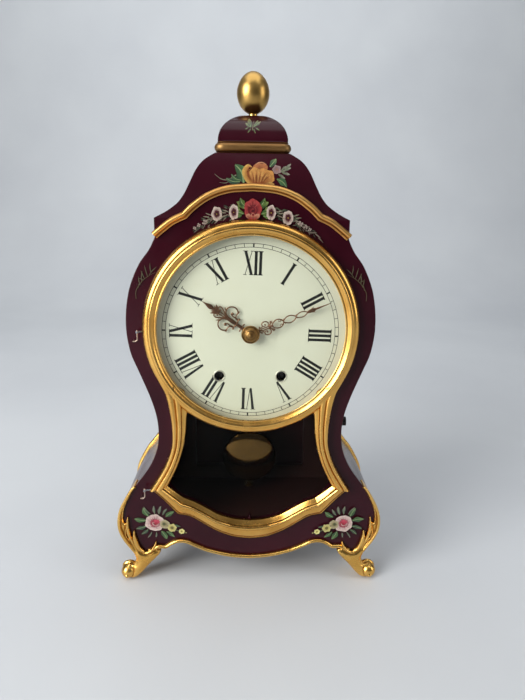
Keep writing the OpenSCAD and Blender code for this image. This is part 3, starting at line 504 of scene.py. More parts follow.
class Geo:
    """Collects faces of one piece."""

    def __init__(self):
        self.v, self.f, self.c = [], [], []

    def grid(self, rows, cu=False, cv=False, cap0=False, cap1=False, flip=False):
        b = len(self.v)
        n, m = len(rows), len(rows[0])
        for r in rows:
            self.v += [tuple(float(a) for a in p) for p in r]
        for i in range(n - (0 if cu else 1)):
            for j in range(m - (0 if cv else 1)):
                a, c = i, (i + 1) % n
                d, e = j, (j + 1) % m
                q = (b + a * m + d, b + a * m + e, b + c * m + e, b + c * m + d)
                self.f.append(q[::-1] if flip else q)
        if cap0:
            self.f.append(tuple(b + j for j in range(m)))
        if cap1:
            self.f.append(tuple(b + (n - 1) * m + j for j in range(m))[::-1])
        return self

    def poly(self, pts):
        b = len(self.v)
        self.v += [tuple(float(a) for a in p) for p in pts]
        self.f.append(tuple(range(b, b + len(pts))))
        return self

    def sweep(self, path, prof, closed=False, sides=None, taper=None):
        """prof is (offset to the right of travel, height in front of the board's face), closed round."""
        N = normals(path, closed)
        rows = []
        for i, (p, n) in enumerate(zip(path, N)):
            k = 1.0 if taper is None else taper[i]
            rows.append([(p[0] + n[0] * d * k, -h, p[1] + n[1] * d * k) for d, h in prof])
        self.grid(rows, cu=closed, cv=True, cap0=not closed, cap1=not closed)
        return self

    def lathe_y(self, cx, cz, prof, n=180, closed=True):
        rows = []
        for i in range(n):
            a = 2 * PI * i / n
            rows.append([(cx + r * math.cos(a), -h, cz + r * math.sin(a)) for r, h in prof])
        return self.grid(rows, cu=True, cv=closed)

    def lathe_z(self, cx, cy, prof, n=96, closed=False):
        rows = []
        for i in range(n):
            a = 2 * PI * i / n
            rows.append([(cx + r * math.cos(a), cy + r * math.sin(a), z) for r, z in prof])
        return self.grid(rows, cu=True, cv=closed)

    def tube(self, pts, rad, n=14, flat=1.0, close=True):
        """Round tube along 3D points with a radius for each point; flat scales it in y."""
        P = [np.array(p, float) for p in pts]
        rows = []
        up = np.array([0, 1.0, 0])
        for i, p in enumerate(P):
            t = P[min(i + 1, len(P) - 1)] - P[max(i - 1, 0)]
            t /= max(np.linalg.norm(t), 1e-9)
            a = np.cross(t, up)
            if np.linalg.norm(a) < 1e-3:
                a = np.array([1.0, 0, 0])
            a /= np.linalg.norm(a)
            b = np.cross(a, t)
            r = rad[i] if hasattr(rad, "__len__") else rad
            rows.append([p + r * (math.cos(2 * PI * k / n) * a + flat * math.sin(2 * PI * k / n) * b) for k in range(n)])
        return self.grid(rows, cv=True, cap0=close, cap1=close)

    def ball(self, c, r, n=24, sy=1.0):
        rows = []
        for i in range(1, n):
            th = PI * i / n
            rows.append([(c[0] + r * math.sin(th) * math.cos(2 * PI * k / (2 * n)), c[1] + sy * r * math.sin(th) * math.sin(2 * PI * k / (2 * n)), c[2] + r * math.cos(th)) for k in range(2 * n)])
        b = len(self.v)
        self.grid(rows, cv=True, cap0=True, cap1=True)
        return self

    def mesh(self, name):
        me = bpy.data.meshes.new(name)
        me.from_pydata([W(p) for p in self.v], [], self.f)
        if self.c:
            at = me.color_attributes.new("Col", "FLOAT_COLOR", "POINT")
            at.data.foreach_set("color", np.array(self.c, np.float32).ravel())
        return me


def piece(name, geo, mat, body="case", reps=(), sharp=35, cav=None, toward=None):
    return finish_mesh(name, geo.mesh(name), mat, body, reps, sharp, cav, toward)


def area2(p):
    x, z = p[:, 0], p[:, 1]
    return 0.5 * float(np.sum(x * np.roll(z, -1) - np.roll(x, -1) * z))


def plate(name, outlines, y0, y1, bevel, mat, body="case", reps=(), cav=None, sharp=44):
    """Flat board from closed outlines in x, z (the first is the outside), with rounded edges."""
    g = Geo()
    faces = {0: [], 1: []}
    for k, pts in enumerate(outlines):
        P = np.array(pts, float)
        keep = [i for i in range(len(P)) if np.linalg.norm(P[i] - P[i - 1]) > 0.02]
        P = P[keep]
        if (area2(P) > 0) != (k == 0):
            P = P[::-1]
        N = -normals(P, True)
        prof = [(bevel + 0.4, y0), (bevel, y0)] + [(bevel * (1 - math.sin(t)), y0 + bevel * (1 - math.cos(t))) for t in (PI / 6, PI / 3, PI / 2)]
        prof += [(d_, y0 + y1 - y) for d_, y in prof[::-1]]
        rows = [[(p[0] + n_[0] * d_, y, p[1] + n_[1] * d_) for p, n_ in zip(P, N)] for d_, y in prof]
        b0 = len(g.v)
        g.grid(rows, cv=True)
        faces[0].append((b0, rows[0]))
        faces[1].append((b0 + (len(rows) - 1) * len(P), rows[-1]))
    for side_ in (0, 1):
        idx, loops = [], []
        for b0, row in faces[side_]:
            loops.append([Vector((q[0], q[2], 0)) for q in row])
            idx += list(range(b0, b0 + len(row)))
        for t in tessellate_polygon(loops):
            g.f.append(tuple(idx[i] for i in t))
    return piece(name, g, mat, body, reps, sharp, cav)


def modify(o, kind, **kw):
    m = o.modifiers.new(kind.lower(), kind)
    for k, v in kw.items():
        setattr(m, k, v)
    return m


def circle(cx, cz, r, n=160):
    return [(cx + r * math.cos(2 * PI * i / n), cz + r * math.sin(2 * PI * i / n)) for i in range(n)]


def ellipse_y(z0, z1):
    return (z0 + z1) / 2


# ------------------------------------------------------------------ case: front board and side panels
low = np.concatenate([side, [[98.5, 31.5]], apron])
body_outline = np.concatenate([sym0(arch), low[1:], mirx(low)[1:-1]])
leg_in_cad = spl([[49.8, 158], [50.6, 148], [51.4, 137], [53.8, 123], [59.4, 106], [66.6, 92.2]], 6)
rail_in_cad = spl([[66.6, 92.2], [60, 84], [55, 79.4]], 4)
rail_in2_cad = spl([[53.6, 78.6], [45.2, 75], [36, 69.6], [26, 63.6], [13, 59.4], [0, 58]], 5)
hole_half = np.concatenate([off(leg_in_cad, -3)[1:-1], off(rail_in_cad, -3)[1:-1], off(rail_in2_cad, -3)[1:]])
hole_half[-1] = (0, 61)
ang0 = math.atan2(158 - DZ, 52.8)
hit = [p for p in hole_half if math.hypot(p[0], p[1] - DZ) > 77.2]
a0 = math.atan2(hit[0][1] - DZ, hit[0][0])
ringpart = [(76.8 * math.cos(a), DZ + 76.8 * math.sin(a)) for a in np.linspace(PI - a0, a0, 220)]
right = [tuple(p) for p in hit]
left = [(-p[0], p[1]) for p in hit[::-1]][1:]
hole = right + left + ringpart[1:-1]
plate("front_board_lacquer", [body_outline, hole], 0, 8, 0.45, LAC, reps=("front_board",), cav=(0.6, 0))

for s, nm in ((1, "right"), (-1, "left")):
    o2, i2 = side.copy(), off(side, 5)
    g = Geo()
    rows = []
    ys = [8, 9, 20, 32, 44, 56, 68, 79, 80]
    for a, b in zip(o2, i2):
        rows.append([(s * a[0], y, a[1]) for y in ys] + [(s * b[0], y, b[1]) for y in ys[::-1]])
    g.grid(rows, cv=True, cap0=True, cap1=True)
    piece(nm + "_side_lacquer", g, LAC, reps=(nm + "_side_panel",), sharp=40)

# ------------------------------------------------------------------ hood
g = Geo()


def arch_z(x):
    return float(np.interp(abs(x), arch[:, 0], arch[:, 1]))


X0 = float(np.interp(302.4, arch[::-1, 1], arch[::-1, 0]))
ux = np.concatenate([np.linspace(-70.5, -X0, 12)[:-1], np.linspace(-X0, X0, 51), np.linspace(X0, 70.5, 12)[1:]]) / 70.5
front, rear = [], []
for X, Z in hood:
    r, q = [], []
    for u in ux:
        z = Z + max(arch_z(u * X) - 302.4, 0) * (348.6 - Z) / 46.2
        r.append((u * X, hood_y(z), z))
        q.append((u * X, 84 - hood_y(Z), Z))
    front.append(r)
    rear.append(q)
g.grid(front)
g.grid(rear, flip=True)
nu = len(ux)
for k0, k1 in ((0, 12), (nu - 12, nu)):
    xx = [u * 70.5 for u in ux[k0:k1]]
    g.grid([[(x, -2, min(arch_z(x), 302.4) + (302.4 - min(arch_z(x), 302.4)) * t) for x in xx] for t in (0, 0.5, 1)])
g.grid([[(u * 70.5, 86, 289.7 + 12.7 * t) for u in ux] for t in (0, 0.5, 1)], flip=True)
for s_ in (-1, 1):
    za = arch_z(70.5)
    g.grid([[(s_ * 70.5, -2 + 88 * w_, za * (1 - w_ if w_ < 0.08 else 0) + 289.7 * (w_ if w_ < 0.08 else 1) + (302.4 - (za * (1 - w_ if w_ < 0.08 else 0) + 289.7 * (w_ if w_ < 0.08 else 1))) * t) for w_ in np.linspace(0, 1, 13)] for t in (0, 0.5, 1)], flip=s_ < 0)
for k, fl_ in ((nu - 1, False), (0, True)):
    rows = []
    for f_, b_ in zip(front, rear):
        A, B = np.array(f_[k]), np.array(b_[k])
        rows.append([A + (B - A) * t for t in np.linspace(0, 1, 13)])
    g.grid(rows, flip=fl_)
g.grid([[np.array(front[-1][i]) + (np.array(rear[-1][i]) - np.array(front[-1][i])) * t for i in range(nu)] for t in np.linspace(0, 1, 8)])
h = piece("hood_lacquer", g, LAC, reps=("hood",), sharp=24)
modify(h, "BEVEL", width=0.0005, segments=2, limit_method="ANGLE", angle_limit=math.radians(35))
modify(h, "SOLIDIFY", thickness=0.0035, offset=-1, use_even_offset=False)

# ------------------------------------------------------------------ cap: dome and moulding
g = Geo()
dr = [(w, z) for w, z in dome if w > 4.2]
for k in range(4):
    a = k * PI / 2
    rows = []
    for w, z in dr:
        r = []
        for u in np.linspace(-1, 1, 25):
            x, y = u * w, -w
            r.append((x * math.cos(a) - y * math.sin(a), 42 + x * math.sin(a) + y * math.cos(a), z))
        rows.append(r)
    g.grid(rows)
w, z = dr[-1]
g.grid([[(u * w, 42 + t * w, z) for u in np.linspace(-1, 1, 25)] for t in np.linspace(-1, 1, 25)])
g.grid([[(u * 25.6, 42 + t * 25.6, 356.4) for u in np.linspace(-1, 1, 25)] for t in np.linspace(-1, 1, 25)])
d = piece("cap_dome_lacquer", g, LAC, reps=("cap_dome",), sharp=24)
modify(d, "BEVEL", width=0.0007, segments=3, limit_method="ANGLE", angle_limit=math.radians(30))

g = Geo()
c = 23.2
base = []
for k in range(4):
    a0_ = -PI / 2 + k * PI / 2
    cx, cy = [(c - 2.2, -(c - 2.2)), (c - 2.2, c - 2.2), (-(c - 2.2), c - 2.2), (-(c - 2.2), -(c - 2.2))][k]
    for j in range(9):
        a = a0_ + PI / 2 * j / 8
        base.append((cx, cy, math.cos(a), math.sin(a)))
    nx = [(c - 2.2, c - 2.2), (-(c - 2.2), c - 2.2), (-(c - 2.2), -(c - 2.2)), (c - 2.2, -(c - 2.2))][k]
    for j in range(1, 12):
        t = j / 12
        a = a0_ + PI / 2
        base.append((cx + (nx[0] - cx) * t, cy + (nx[1] - cy) * t, math.cos(a), math.sin(a)))
prof = [(0.0, 348.62), (5.2, 348.62), (5.6, 348.9)] + [(2.7 + 4.5 * math.cos(t), 352.5 + 3.75 * math.sin(t)) for t in np.linspace(-1.05, 1.05, 15)] + [(5.2, 356.38), (0.0, 356.38)]
g.grid([[(cx + nx_ * q, 42 + cy + ny_ * q, z) for q, z in prof] for cx, cy, nx_, ny_ in base], cu=True)
for zc in (348.62, 356.38):
    g.poly([(cx, 42 + cy, zc) for cx, cy, _, _ in base])
piece("cap_moulding_gilt", g, CAPM, reps=("cap_moulding",), sharp=40, cav=(0.35, 2))

# egg finial
egg = spl([[0.01, 378.9], [3.4, 379.3], [7.4, 381.8], [10.6, 386], [12.2, 391.4], [12, 396.6], [10.2, 401.6], [7.2, 405.6], [3.6, 408], [0.01, 408.8]], 7)
piece("egg_finial_gilt", Geo().lathe_z(0, 42, [(max(r, 0.01), z) for r, z in egg], 96), EGG, reps=("egg_finial",), sharp=60)


# ------------------------------------------------------------------ mouldings on the front
def bead(w0, w1, h, n=9, step=None):
    """Rounded bead between offsets w0 and w1, h high; step is (width, height) of a small step on the w1 side."""
    pts = [(w0, 0.02), (w0, h * 0.35)]
    c, r = (w0 + w1) / 2, (w1 - w0) / 2
    for t in np.linspace(PI * 0.92, PI * 0.08, n):
        pts.append((c + r * math.cos(t), h * 0.35 + h * 0.65 * math.sin(t)))
    pts += [(w1, h * 0.35)]
    if step:
        pts += [(w1 + 0.05, step[1]), (w1 + step[0], step[1]), (w1 + step[0], 0.02)]
    else:
        pts += [(w1, 0.02)]
    return pts


# hood moulding: travelling from left to right, the right of travel is downwards
path = sym0(np.concatenate([arch, [arch[-1] + (arch[-1] - arch[-2]) * 0.35]]))
prof = [(-2.7, 0.02), (-2.7, 1.3)] + [(-0.55 + 2.15 * math.cos(t), 1.3 + 3.25 * math.sin(t)) for t in np.linspace(PI, 0.12 * PI, 11)] + [(1.6, 1.7), (1.85, 1.15), (2.5, 1.0), (2.75, 0.75), (2.85, 0.02)]
piece("hood_moulding_gilt", Geo().sweep(path, prof), MOULD, reps=("hood_moulding",), sharp=50, cav=(0.5, 1))

ap = apron[7:]
path = sym1(ap)
prof = [(-1.15, -7.4), (-1.15, 0.9)] + [(0.4 + 1.6 * math.cos(t), 0.9 + 2.05 * math.sin(t)) for t in np.linspace(PI * 0.97, 0.03 * PI, 11)] + [(2.0, 0.7), (2.0, 0.02), (-0.15, 0.02), (-0.15, -7.4)]
piece("apron_moulding_gilt", Geo().sweep(path, prof), GILT, reps=("apron_moulding",), sharp=50, cav=(0.5, 1))

# ------------------------------------------------------------------ front door: bezel, legs, rail
ring = [(73.6, 0.4), (73.6, 5.5), (71.0, 5.5), (71.0, 5.9), (71.3, 6.15), (71.9, 6.2), (72.35, 6.05), (72.6, 5.95), (73.2, 6.25), (74.0, 6.95), (74.7, 7.55), (75.3, 7.85), (75.9, 7.95), (76.5, 7.85), (76.85, 7.65),
        (77.05, 7.5), (77.3, 7.52), (77.8, 7.5), (78.8, 7.25), (79.8, 6.75), (80.6, 6.1), (81.3, 5.2), (81.8, 4.1), (82.15, 2.9), (82.4, 1.5), (82.5, 0.4)]
g = Geo().lathe_y(0, DZ, ring, 240)
gring = g


def strip(geo, guides, heights, n, ts=None, caps=(True, True), mirror=True):
    """A moulding between guide curves (outer edge to inner edge). Each guide is resampled to n stations; heights gives (guide position, height) across, where position 0..len-1 may lie between guides."""
    G = [resample(q, n) for q in guides]
    for s in ((1, -1) if mirror else (1,)):
        rows = []
        for i in range(n):
            r = []
            for t, hh in heights:
                k = min(int(t), len(G) - 2)
                f = t - k
                p = G[k][i] * (1 - f) + G[k + 1][i] * f
                r.append((s * p[0], -hh, p[1]))
            rows.append(r)
        geo.grid(rows, cv=True, cap0=caps[0], cap1=caps[1], flip=s < 0)


leg0 = spl([[74.8, 186], [70.9, 178.5], [67.2, 171], [64.6, 160], [62.7, 146], [62.4, 131], [64.2, 121], [68.2, 110.4], [73.4, 100.6], [82.2, 86.6]], 8)
leg3 = spl([[52, 172], [50.2, 165], [49.8, 158], [50.6, 148], [51.4, 137], [53.8, 123], [59.4, 106], [67.4, 89.6]], 8)
g0, g3 = resample(leg0, 60), resample(leg3, 60)
q = np.linspace(0, 1, 60)[:, None]
t1 = 0.47 + (0.38 - 0.47) * q
t2 = 0.74 + (0.80 - 0.74) * q
g1 = g0 * (1 - t1) + g3 * t1
g2 = g0 * (1 - t2) + g3 * t2
LEGH = [(0, 0.42), (0.0, 2.6), (0.06, 4.2), (0.16, 5.6), (0.3, 6.6), (0.5, 7.2), (0.7, 7.2), (0.86, 6.8), (0.94, 6.3), (1.0, 5.9), (1.06, 6.3), (1.14, 6.9), (1.32, 7.38), (1.6, 7.4), (1.82, 7.0), (1.94, 6.2), (2.0, 5.2),
        (2.04, 4.4), (2.2, 4.1), (2.6, 3.9), (2.86, 3.3), (3.0, 2.6), (3.0, 0.42)]
g = gring
strip(g, [g0, g1, g2, g3], LEGH, 60)
# rail: two stretches that meet at a kink, outer (lower) edge to inner (upper) edge
RA0 = spl([[80.6, 86.4], [71.6, 77.4], [65, 70], [59.7, 63.8]], 6)
RA3 = spl([[67.4, 89.6], [60, 83.4], [54.3, 79.0]], 6)
RB0 = spl([[59.7, 63.8], [49.6, 61.6], [41, 56.4], [33.4, 51.4], [25, 46.6], [13, 42.2], [0, 40.6]], 6)
RB3 = spl([[54.3, 79.0], [45.2, 75], [36, 69.6], [26, 63.6], [13, 59.4], [0, 58]], 6)
RAILH = [(0, 0.42), (0, 1.7), (0.05, 2.5), (0.16, 2.9), (0.24, 2.75), (0.3, 3.0), (0.5, 4.0), (0.8, 5.0), (1.1, 5.5), (1.5, 5.6), (1.66, 5.45), (1.72, 5.9), (1.8, 6.9), (1.95, 7.35), (2.1, 7.38), (2.24, 6.95), (2.32, 5.9),
         (2.36, 4.9), (2.55, 4.2), (2.8, 3.4), (3.0, 2.6), (3.0, 0.42)]


def rail_guides(a0, a3, n):
    p, r = resample(a0, n), resample(a3, n)
    return [p, p * 2 / 3 + r / 3, p / 3 + r * 2 / 3, r]


strip(g, rail_guides(RA0, RA3, 20), RAILH, 20)
strip(g, rail_guides(RB0, RB3, 40), RAILH, 40, caps=(True, False))
# tabs that hold the glass, hinge eyes with their lugs, and the catch pin
for k in range(8):
    a = math.radians(22.5 + 45 * k)
    ca, sa = math.cos(a), math.sin(a)
    box = []
    for r_, t_ in ((72, -2), (74, -2), (74, 2), (72, 2)):
        box.append((r_ * ca + t_ * sa, r_ * sa - t_ * ca))
    g.grid([[(x, -3.85, DZ + z) for x, z in box], [(x, -3.15, DZ + z) for x, z in box]], cv=True, cap0=True, cap1=True)
HX, HY = -85.5, -5.4
ge, gh = Geo(), Geo()
for zt, xr, yr in ((220.0, -80.8, -3.0), (88.2, -77.4, -4.6)):
    # eye and arm on the door, over the upright pin of the hook that sits in the board
    ge.grid([[(HX + r_ * math.cos(2 * PI * j / 24), HY + r_ * math.sin(2 * PI * j / 24), z) for r_, z in ((0.62, zt - 1.5), (0.62, zt - 0.1), (0.95, zt + 0.05), (1.2, zt - 0.15), (1.2, zt - 1.45), (0.95, zt - 1.6))] for j in range(24)], cu=True, cv=True)
    ge.tube([(HX + 0.95, HY, zt - 0.7), (HX + 2.0, HY, zt - 0.4), ((HX + xr) / 2 + 1.2, (HY + yr) / 2, zt - 0.5), (xr, yr, zt - 0.9), (xr + 2.6, yr + 0.6, zt - 1.4)], (0.55, 0.5, 0.5, 0.5, 0.5), 12)
    bend = [(-87.7 + 2.2 * math.sin(t), HY, zt - 8.0 + 2.2 * (1 - math.cos(t))) for t in np.linspace(0, PI / 2, 7)]
    back = [(-88.8, HY + 1.2 * (1 - math.sin(t)), zt - 8.0) for t in np.linspace(0, PI / 2, 5)]
    gh.tube([(-88.8, 4.0, zt - 8.0)] + back + bend + [(HX, HY, zt - 3), (HX, HY, zt + 0.4), (HX, HY, zt + 0.75)], [0.52] * 14 + [0.5, 0.25], 14)
piece("door_hinge_eyes", ge, STEEL, body="front_door", sharp=50)
piece("hinge_hook_wires", gh, WIREP, reps=("front_hinge_hooks",), sharp=50)
g.grid([[(76.5 + r_ * math.cos(2 * PI * j / 24), y, 246 + r_ * math.sin(2 * PI * j / 24)) for j in range(24)] for r_, y in ((1.6, -1.0), (1.6, 2.8), (0.9, 3.5))], cv=True, cap0=True, cap1=True)
piece("door_frame_gilt", g, RING, body="front_door", reps=("door_frame",), sharp=38, cav=(0.55, 1))

# glass over the dial, domed
gl = [(0.02, 12.4)] + [(r, 5.4 + 7 * (1 - (r / 70.8) ** 2)) for r in np.linspace(2, 70.8, 40)] + [(73.2, 5.4), (73.4, 5.2), (73.4, 4.2), (73.2, 4.0), (70.8, 4.0)] + [(r, 4.0 + 7 * (1 - (r / 70.8) ** 2)) for r in np.linspace(69, 2, 40)] + [(0.02, 11.0)]
piece("dial_glass_domed", Geo().lathe_y(0, DZ, gl, 144, closed=False), GLASS, body="front_door", reps=("dial_glass",), sharp=40)

# ------------------------------------------------------------------ dial furniture: track, numerals, rims of the winding holes
g = Geo()
TURN = math.radians(1.6)


def dpt(r, th, y):
    """Point of the dial at radius r, angle th clockwise from its own twelve."""
    a = th + TURN
    return (MX + r * math.sin(a), y, MZ + r * math.cos(a))


YI = 1.37


def dquad(geo, pts):
    """pts are (across, up) in the dial's plane, already placed; a thin raised print."""
    pts = [np.array(p) for p in pts]
    b = len(geo.v)
    n = len(pts)
    geo.v += [(p[0], YI, p[1]) for p in pts] + [(p[0], 1.44, p[1]) for p in pts]
    geo.f.append(tuple(range(b, b + n)))
    for i in range(n):
        j = (i + 1) % n
        geo.f.append((b + i, b + n + i, b + n + j, b + j))


def radial(th, up, across):
    """Place (across, radius) for a sign whose top points outward at angle th clockwise."""
    a = th + TURN
    s, c = math.sin(a), math.cos(a)
    return (MX + up * s + across * c, MZ + up * c - across * s)


for r0 in (64.8, 67.5):
    rows = []
    for i in range(241):
        a = 2 * PI * i / 240
        rows.append([dpt(r0 - 0.2, a, 1.44), dpt(r0 - 0.18, a, YI), dpt(r0 + 0.18, a, YI), dpt(r0 + 0.2, a, 1.44)])
    g.grid(rows)
for i in range(60):
    hw = 0.55 if i % 5 == 0 else 0.21
    th = 2 * PI * i / 60
    dquad(g, [radial(th, 64.8, -hw), radial(th, 64.8, hw), radial(th, 67.5, hw), radial(th, 67.5, -hw)])
R0, R1 = 44.3, 62.1
TH, TN, SE = 2.15, 0.5, 0.42


def numeral(txt, th):
    adv = {"I": 3.45, "V": 7.6, "X": 7.6}
    total = sum(adv[ch] for ch in txt) - 0.2
    x = -total / 2

    def q(a, b, c_, d_):
        dquad(g, [radial(th, p[1], p[0]) for p in (a, b, c_, d_)])

    def serif(xc, r, w_):
        s_ = 1 if r > 50 else -1
        q((xc - w_ / 2, r - SE * (s_ > 0)), (xc + w_ / 2, r - SE * (s_ > 0)), (xc + w_ / 2, r + SE * (s_ < 0)), (xc - w_ / 2, r + SE * (s_ < 0)))
    for ch in txt:
        if ch == "I":
            xc = x + 1.65
            q((xc - TH / 2, R0), (xc + TH / 2, R0), (xc + TH / 2, R1), (xc - TH / 2, R1))
            for r in (R0, R1):
                serif(xc, r, TH + 1.5)
            for sx in (-1, 1):
                for r, k in ((R0, 1), (R1, -1)):
                    dquad(g, [radial(th, p[1], p[0]) for p in ((xc + sx * TH / 2, r + k * SE), (xc + sx * (TH / 2 + 0.5), r + k * SE), (xc + sx * TH / 2, r + k * 1.1))])
        elif ch == "V":
            xa, xb, xm = x + 1.4, x + 6.3, x + 3.9
            q((xm - TH / 2 + 0.1, R0), (xm + TH / 2 - 0.5, R0), (xa + TH / 2, R1), (xa - TH / 2, R1))
            q((xm + 0.1, R0), (xm + 0.1 + TN, R0), (xb + TN / 2, R1), (xb - TN / 2, R1))
            serif(xa, R1, TH + 1.6)
            serif(xb, R1, 2.4)
        else:
            xa, xb = x + 1.3, x + 6.2
            q((xb - TH / 2, R0), (xb + TH / 2, R0), (xa + TH / 2, R1), (xa - TH / 2, R1))
            q((xa - TN / 2, R0), (xa + TN / 2, R0), (xb + TN / 2, R1), (xb - TN / 2, R1))
            serif(xa, R1, TH + 1.6)
            serif(xb, R1, 2.6)
            serif(xb, R0, TH + 1.6)
            serif(xa, R0, 2.6)
        x += adv[ch]


for i, t in enumerate(["XII", "I", "II", "III", "IIII", "V", "VI", "VII", "VIII", "IX", "X", "XI"]):
    numeral(t, 2 * PI * i / 12)
piece("dial_print", g, INK, toward=(0, -1, 0), sharp=30)

g = Geo()
for sx in (-1, 1):
    g.lathe_y(MX + sx * 24.2, MZ - 34.4, [(3.75, -2.5), (3.75, -1.15), (3.95, -1.0), (4.45, -1.05), (4.75, -1.25), (4.8, -1.38), (3.9, -1.42), (3.88, -2.5)], 64)
piece("winding_hole_rims", g, metal_mat("rim_metal", (206, 200, 178), (226, 222, 204), 0.3, 0.45, (150, 140, 110)), sharp=50)


# ------------------------------------------------------------------ hands
class Hand:
    def __init__(self, theta, yf, yb):
        self.g = Geo()
        self.s, self.c = math.sin(theta), math.cos(theta)
        self.yf, self.yb, self.k = yf, yb, 0

    def at(self, s, t, y):
        return (MX + s * self.s + t * self.c, y, MZ + s * self.c - t * self.s)

    def stroke(self, pts, w, n=6, smooth=True):
        """Raised stroke along (s, t) points; w is a width or (widths at equal steps)."""
        P = spl(pts, n) if smooth and len(pts) > 2 else np.array(pts, float)
        if not smooth or len(pts) == 2:
            P = resample(P, max(2, len(pts)))
        m = len(P)
        ws = np.interp(np.linspace(0, 1, m), np.linspace(0, 1, len(w)), w) if hasattr(w, "__len__") else np.full(m, w)
        N = normals(P)
        self.k += 1
        lift = 0.012 * (self.k % 7)
        T = self.yb - self.yf
        rows = []
        for p, nn, w_ in zip(P, N, ws):
            r = []
            for a, hgt in ((-0.5, 0.0), (-0.5, 0.55), (-0.36, 0.85), (-0.14, 1.0), (0.14, 1.0), (0.36, 0.85), (0.5, 0.55), (0.5, 0.0)):
                pp = p + nn * w_ * a
                r.append(self.at(pp[0], pp[1], self.yb - (T - lift) * hgt * (0.8 + 0.2 * min(w_, 1.2) / 1.2)))
            rows.append(r)
        self.g.grid(rows, cv=True, cap0=True, cap1=True)

    def both(self, pts, w, **kw):
        for s in (1, -1):
            self.stroke([(a, s * b) for a, b in pts], w, **kw)

    def dot(self, s, t, r):
        self.k += 1
        T = self.yb - self.yf - 0.012 * (self.k % 7)
        prof = [(r, 0.0), (r, 0.5), (r * 0.8, 0.85), (r * 0.4, 1.0), (0.02, 1.0)]
        rows = []
        for i in range(20):
            a = 2 * PI * i / 20
            rows.append([self.at(s + q_ * math.cos(a), t + q_ * math.sin(a), self.yb - T * h_) for q_, h_ in prof])
        self.g.grid(rows, cu=True)

    def dots(self, s, t, r):
        self.dot(s, t, r)
        self.dot(s, -t, r)

    def hub(self, r0, r1):
        prof = [(r0, 0.0), (r0, 1.0), (r1 * 0.94, 1.0), (r1, 0.7), (r1, 0.0)]
        T = self.yb - self.yf
        rows = []
        for i in range(64):
            a = 2 * PI * i / 64
            rows.append([self.at(q_ * math.cos(a), q_ * math.sin(a), self.yb - T * h_) for q_, h_ in prof])
        self.g.grid(rows, cu=True, cv=True)


def arc2(cs, ct, r, a0_, a1_, n, r1=None):
    return [(cs + (r + ((r1 if r1 is not None else r) - r) * i / n) * math.cos(math.radians(a0_ + (a1_ - a0_) * i / n)),
             ct + (r + ((r1 if r1 is not None else r) - r) * i / n) * math.sin(math.radians(a0_ + (a1_ - a0_) * i / n))) for i in range(n + 1)]


H = Hand(math.radians(304), -1.0, -0.2)
H.hub(3.3, 5.6)
H.stroke([(5.2, 0), (9, 0), (13, 0)], (3.2, 2.4, 2.0))
H.both([(7.6, 0.6), (8.2, 1.9), (8.0, 2.9)], (1.2, 0.9, 0.8))
H.dots(8.0, 3.0, 0.62)
H.stroke([(12.4, 0), (15.6, 0), (20.6, 0), (23, 0)], (2.0, 3.0, 1.9, 1.6))
H.both([(12.6, 0.5), (13.4, 2.6), (13.2, 4.1)], (1.4, 1.1, 1.0))
H.dots(13.2, 4.3, 0.8)
H.both([(13.4, 3.0), (14.8, 3.0), (16.2, 3.4)], (0.9, 0.8, 0.8))
# curl from the cross into the ring
H.both([(13.6, 3.4), (15.6, 3.7), (17.6, 3.5), (19.0, 3.5), (20.3, 4.1), (20.6, 5.2), (19.7, 5.9)], (1.0, 1.0, 0.9, 0.9, 0.8, 0.8, 0.7))
H.dots(19.5, 5.0, 0.85)
# big ring, open towards the curl
H.both([(15.4, 0.7), (18.0, 0.9), (20.8, 0.9), (23.4, 1.9), (25.1, 3.8), (25.3, 6.2), (24.2, 8.3), (22.2, 9.7), (19.8, 9.9), (17.8, 9.0), (16.7, 8.2)], (1.4, 1.3, 1.2, 1.0, 1.0, 1.0, 1.0, 1.0, 1.0, 1.0, 1.4))
H.both([(16.4, 9.6), (16.7, 8.3), (16.9, 6.6), (16.7, 5.0), (16.0, 3.8)], (0.3, 1.3, 0.8, 0.7, 0.8))
H.both([(24.6, 4.2), (26.2, 5.0), (27.6, 6.3)], (1.5, 1.0, 0.25))
# heart-shaped loops and the fleur
H.both([(21.8, 0.4), (24.6, 1.8), (27.2, 3.5), (29.3, 4.4), (30.8, 4.0), (31.2, 2.8), (30.2, 1.8), (28.9, 2.0)], (1.1, 1.0, 0.9, 0.9, 0.9, 0.9, 0.8, 0.7))
H.dots(28.9, 2.2, 0.62)
H.both([(22.4, 0.2), (26, 0.9), (30, 1.0)], (0.8, 0.7, 0.9))
H.stroke([(28.4, 0), (31.5, 0), (34.4, 0)], (1.2, 3.6, 2.0))
H.both([(30.0, 0.6), (31.8, 1.9), (33.0, 3.1), (34.2, 4.0)], (1.4, 1.8, 1.3, 0.2))
H.both([(31.4, 0.6), (33.0, 1.5), (34.6, 2.2)], (1.4, 1.3, 0.2))
H.stroke([(33.0, 0), (34.2, 0), (36.4, 0), (38.4, 0), (41.0, 0), (44.0, 0)], (1.4, 2.2, 3.8, 3.1, 1.3, 0.12))
piece("hour_hand_pierced", H.g, HANDM, body="hour_hand", reps=("hour_hand",), sharp=50, cav=(1.4, 1))

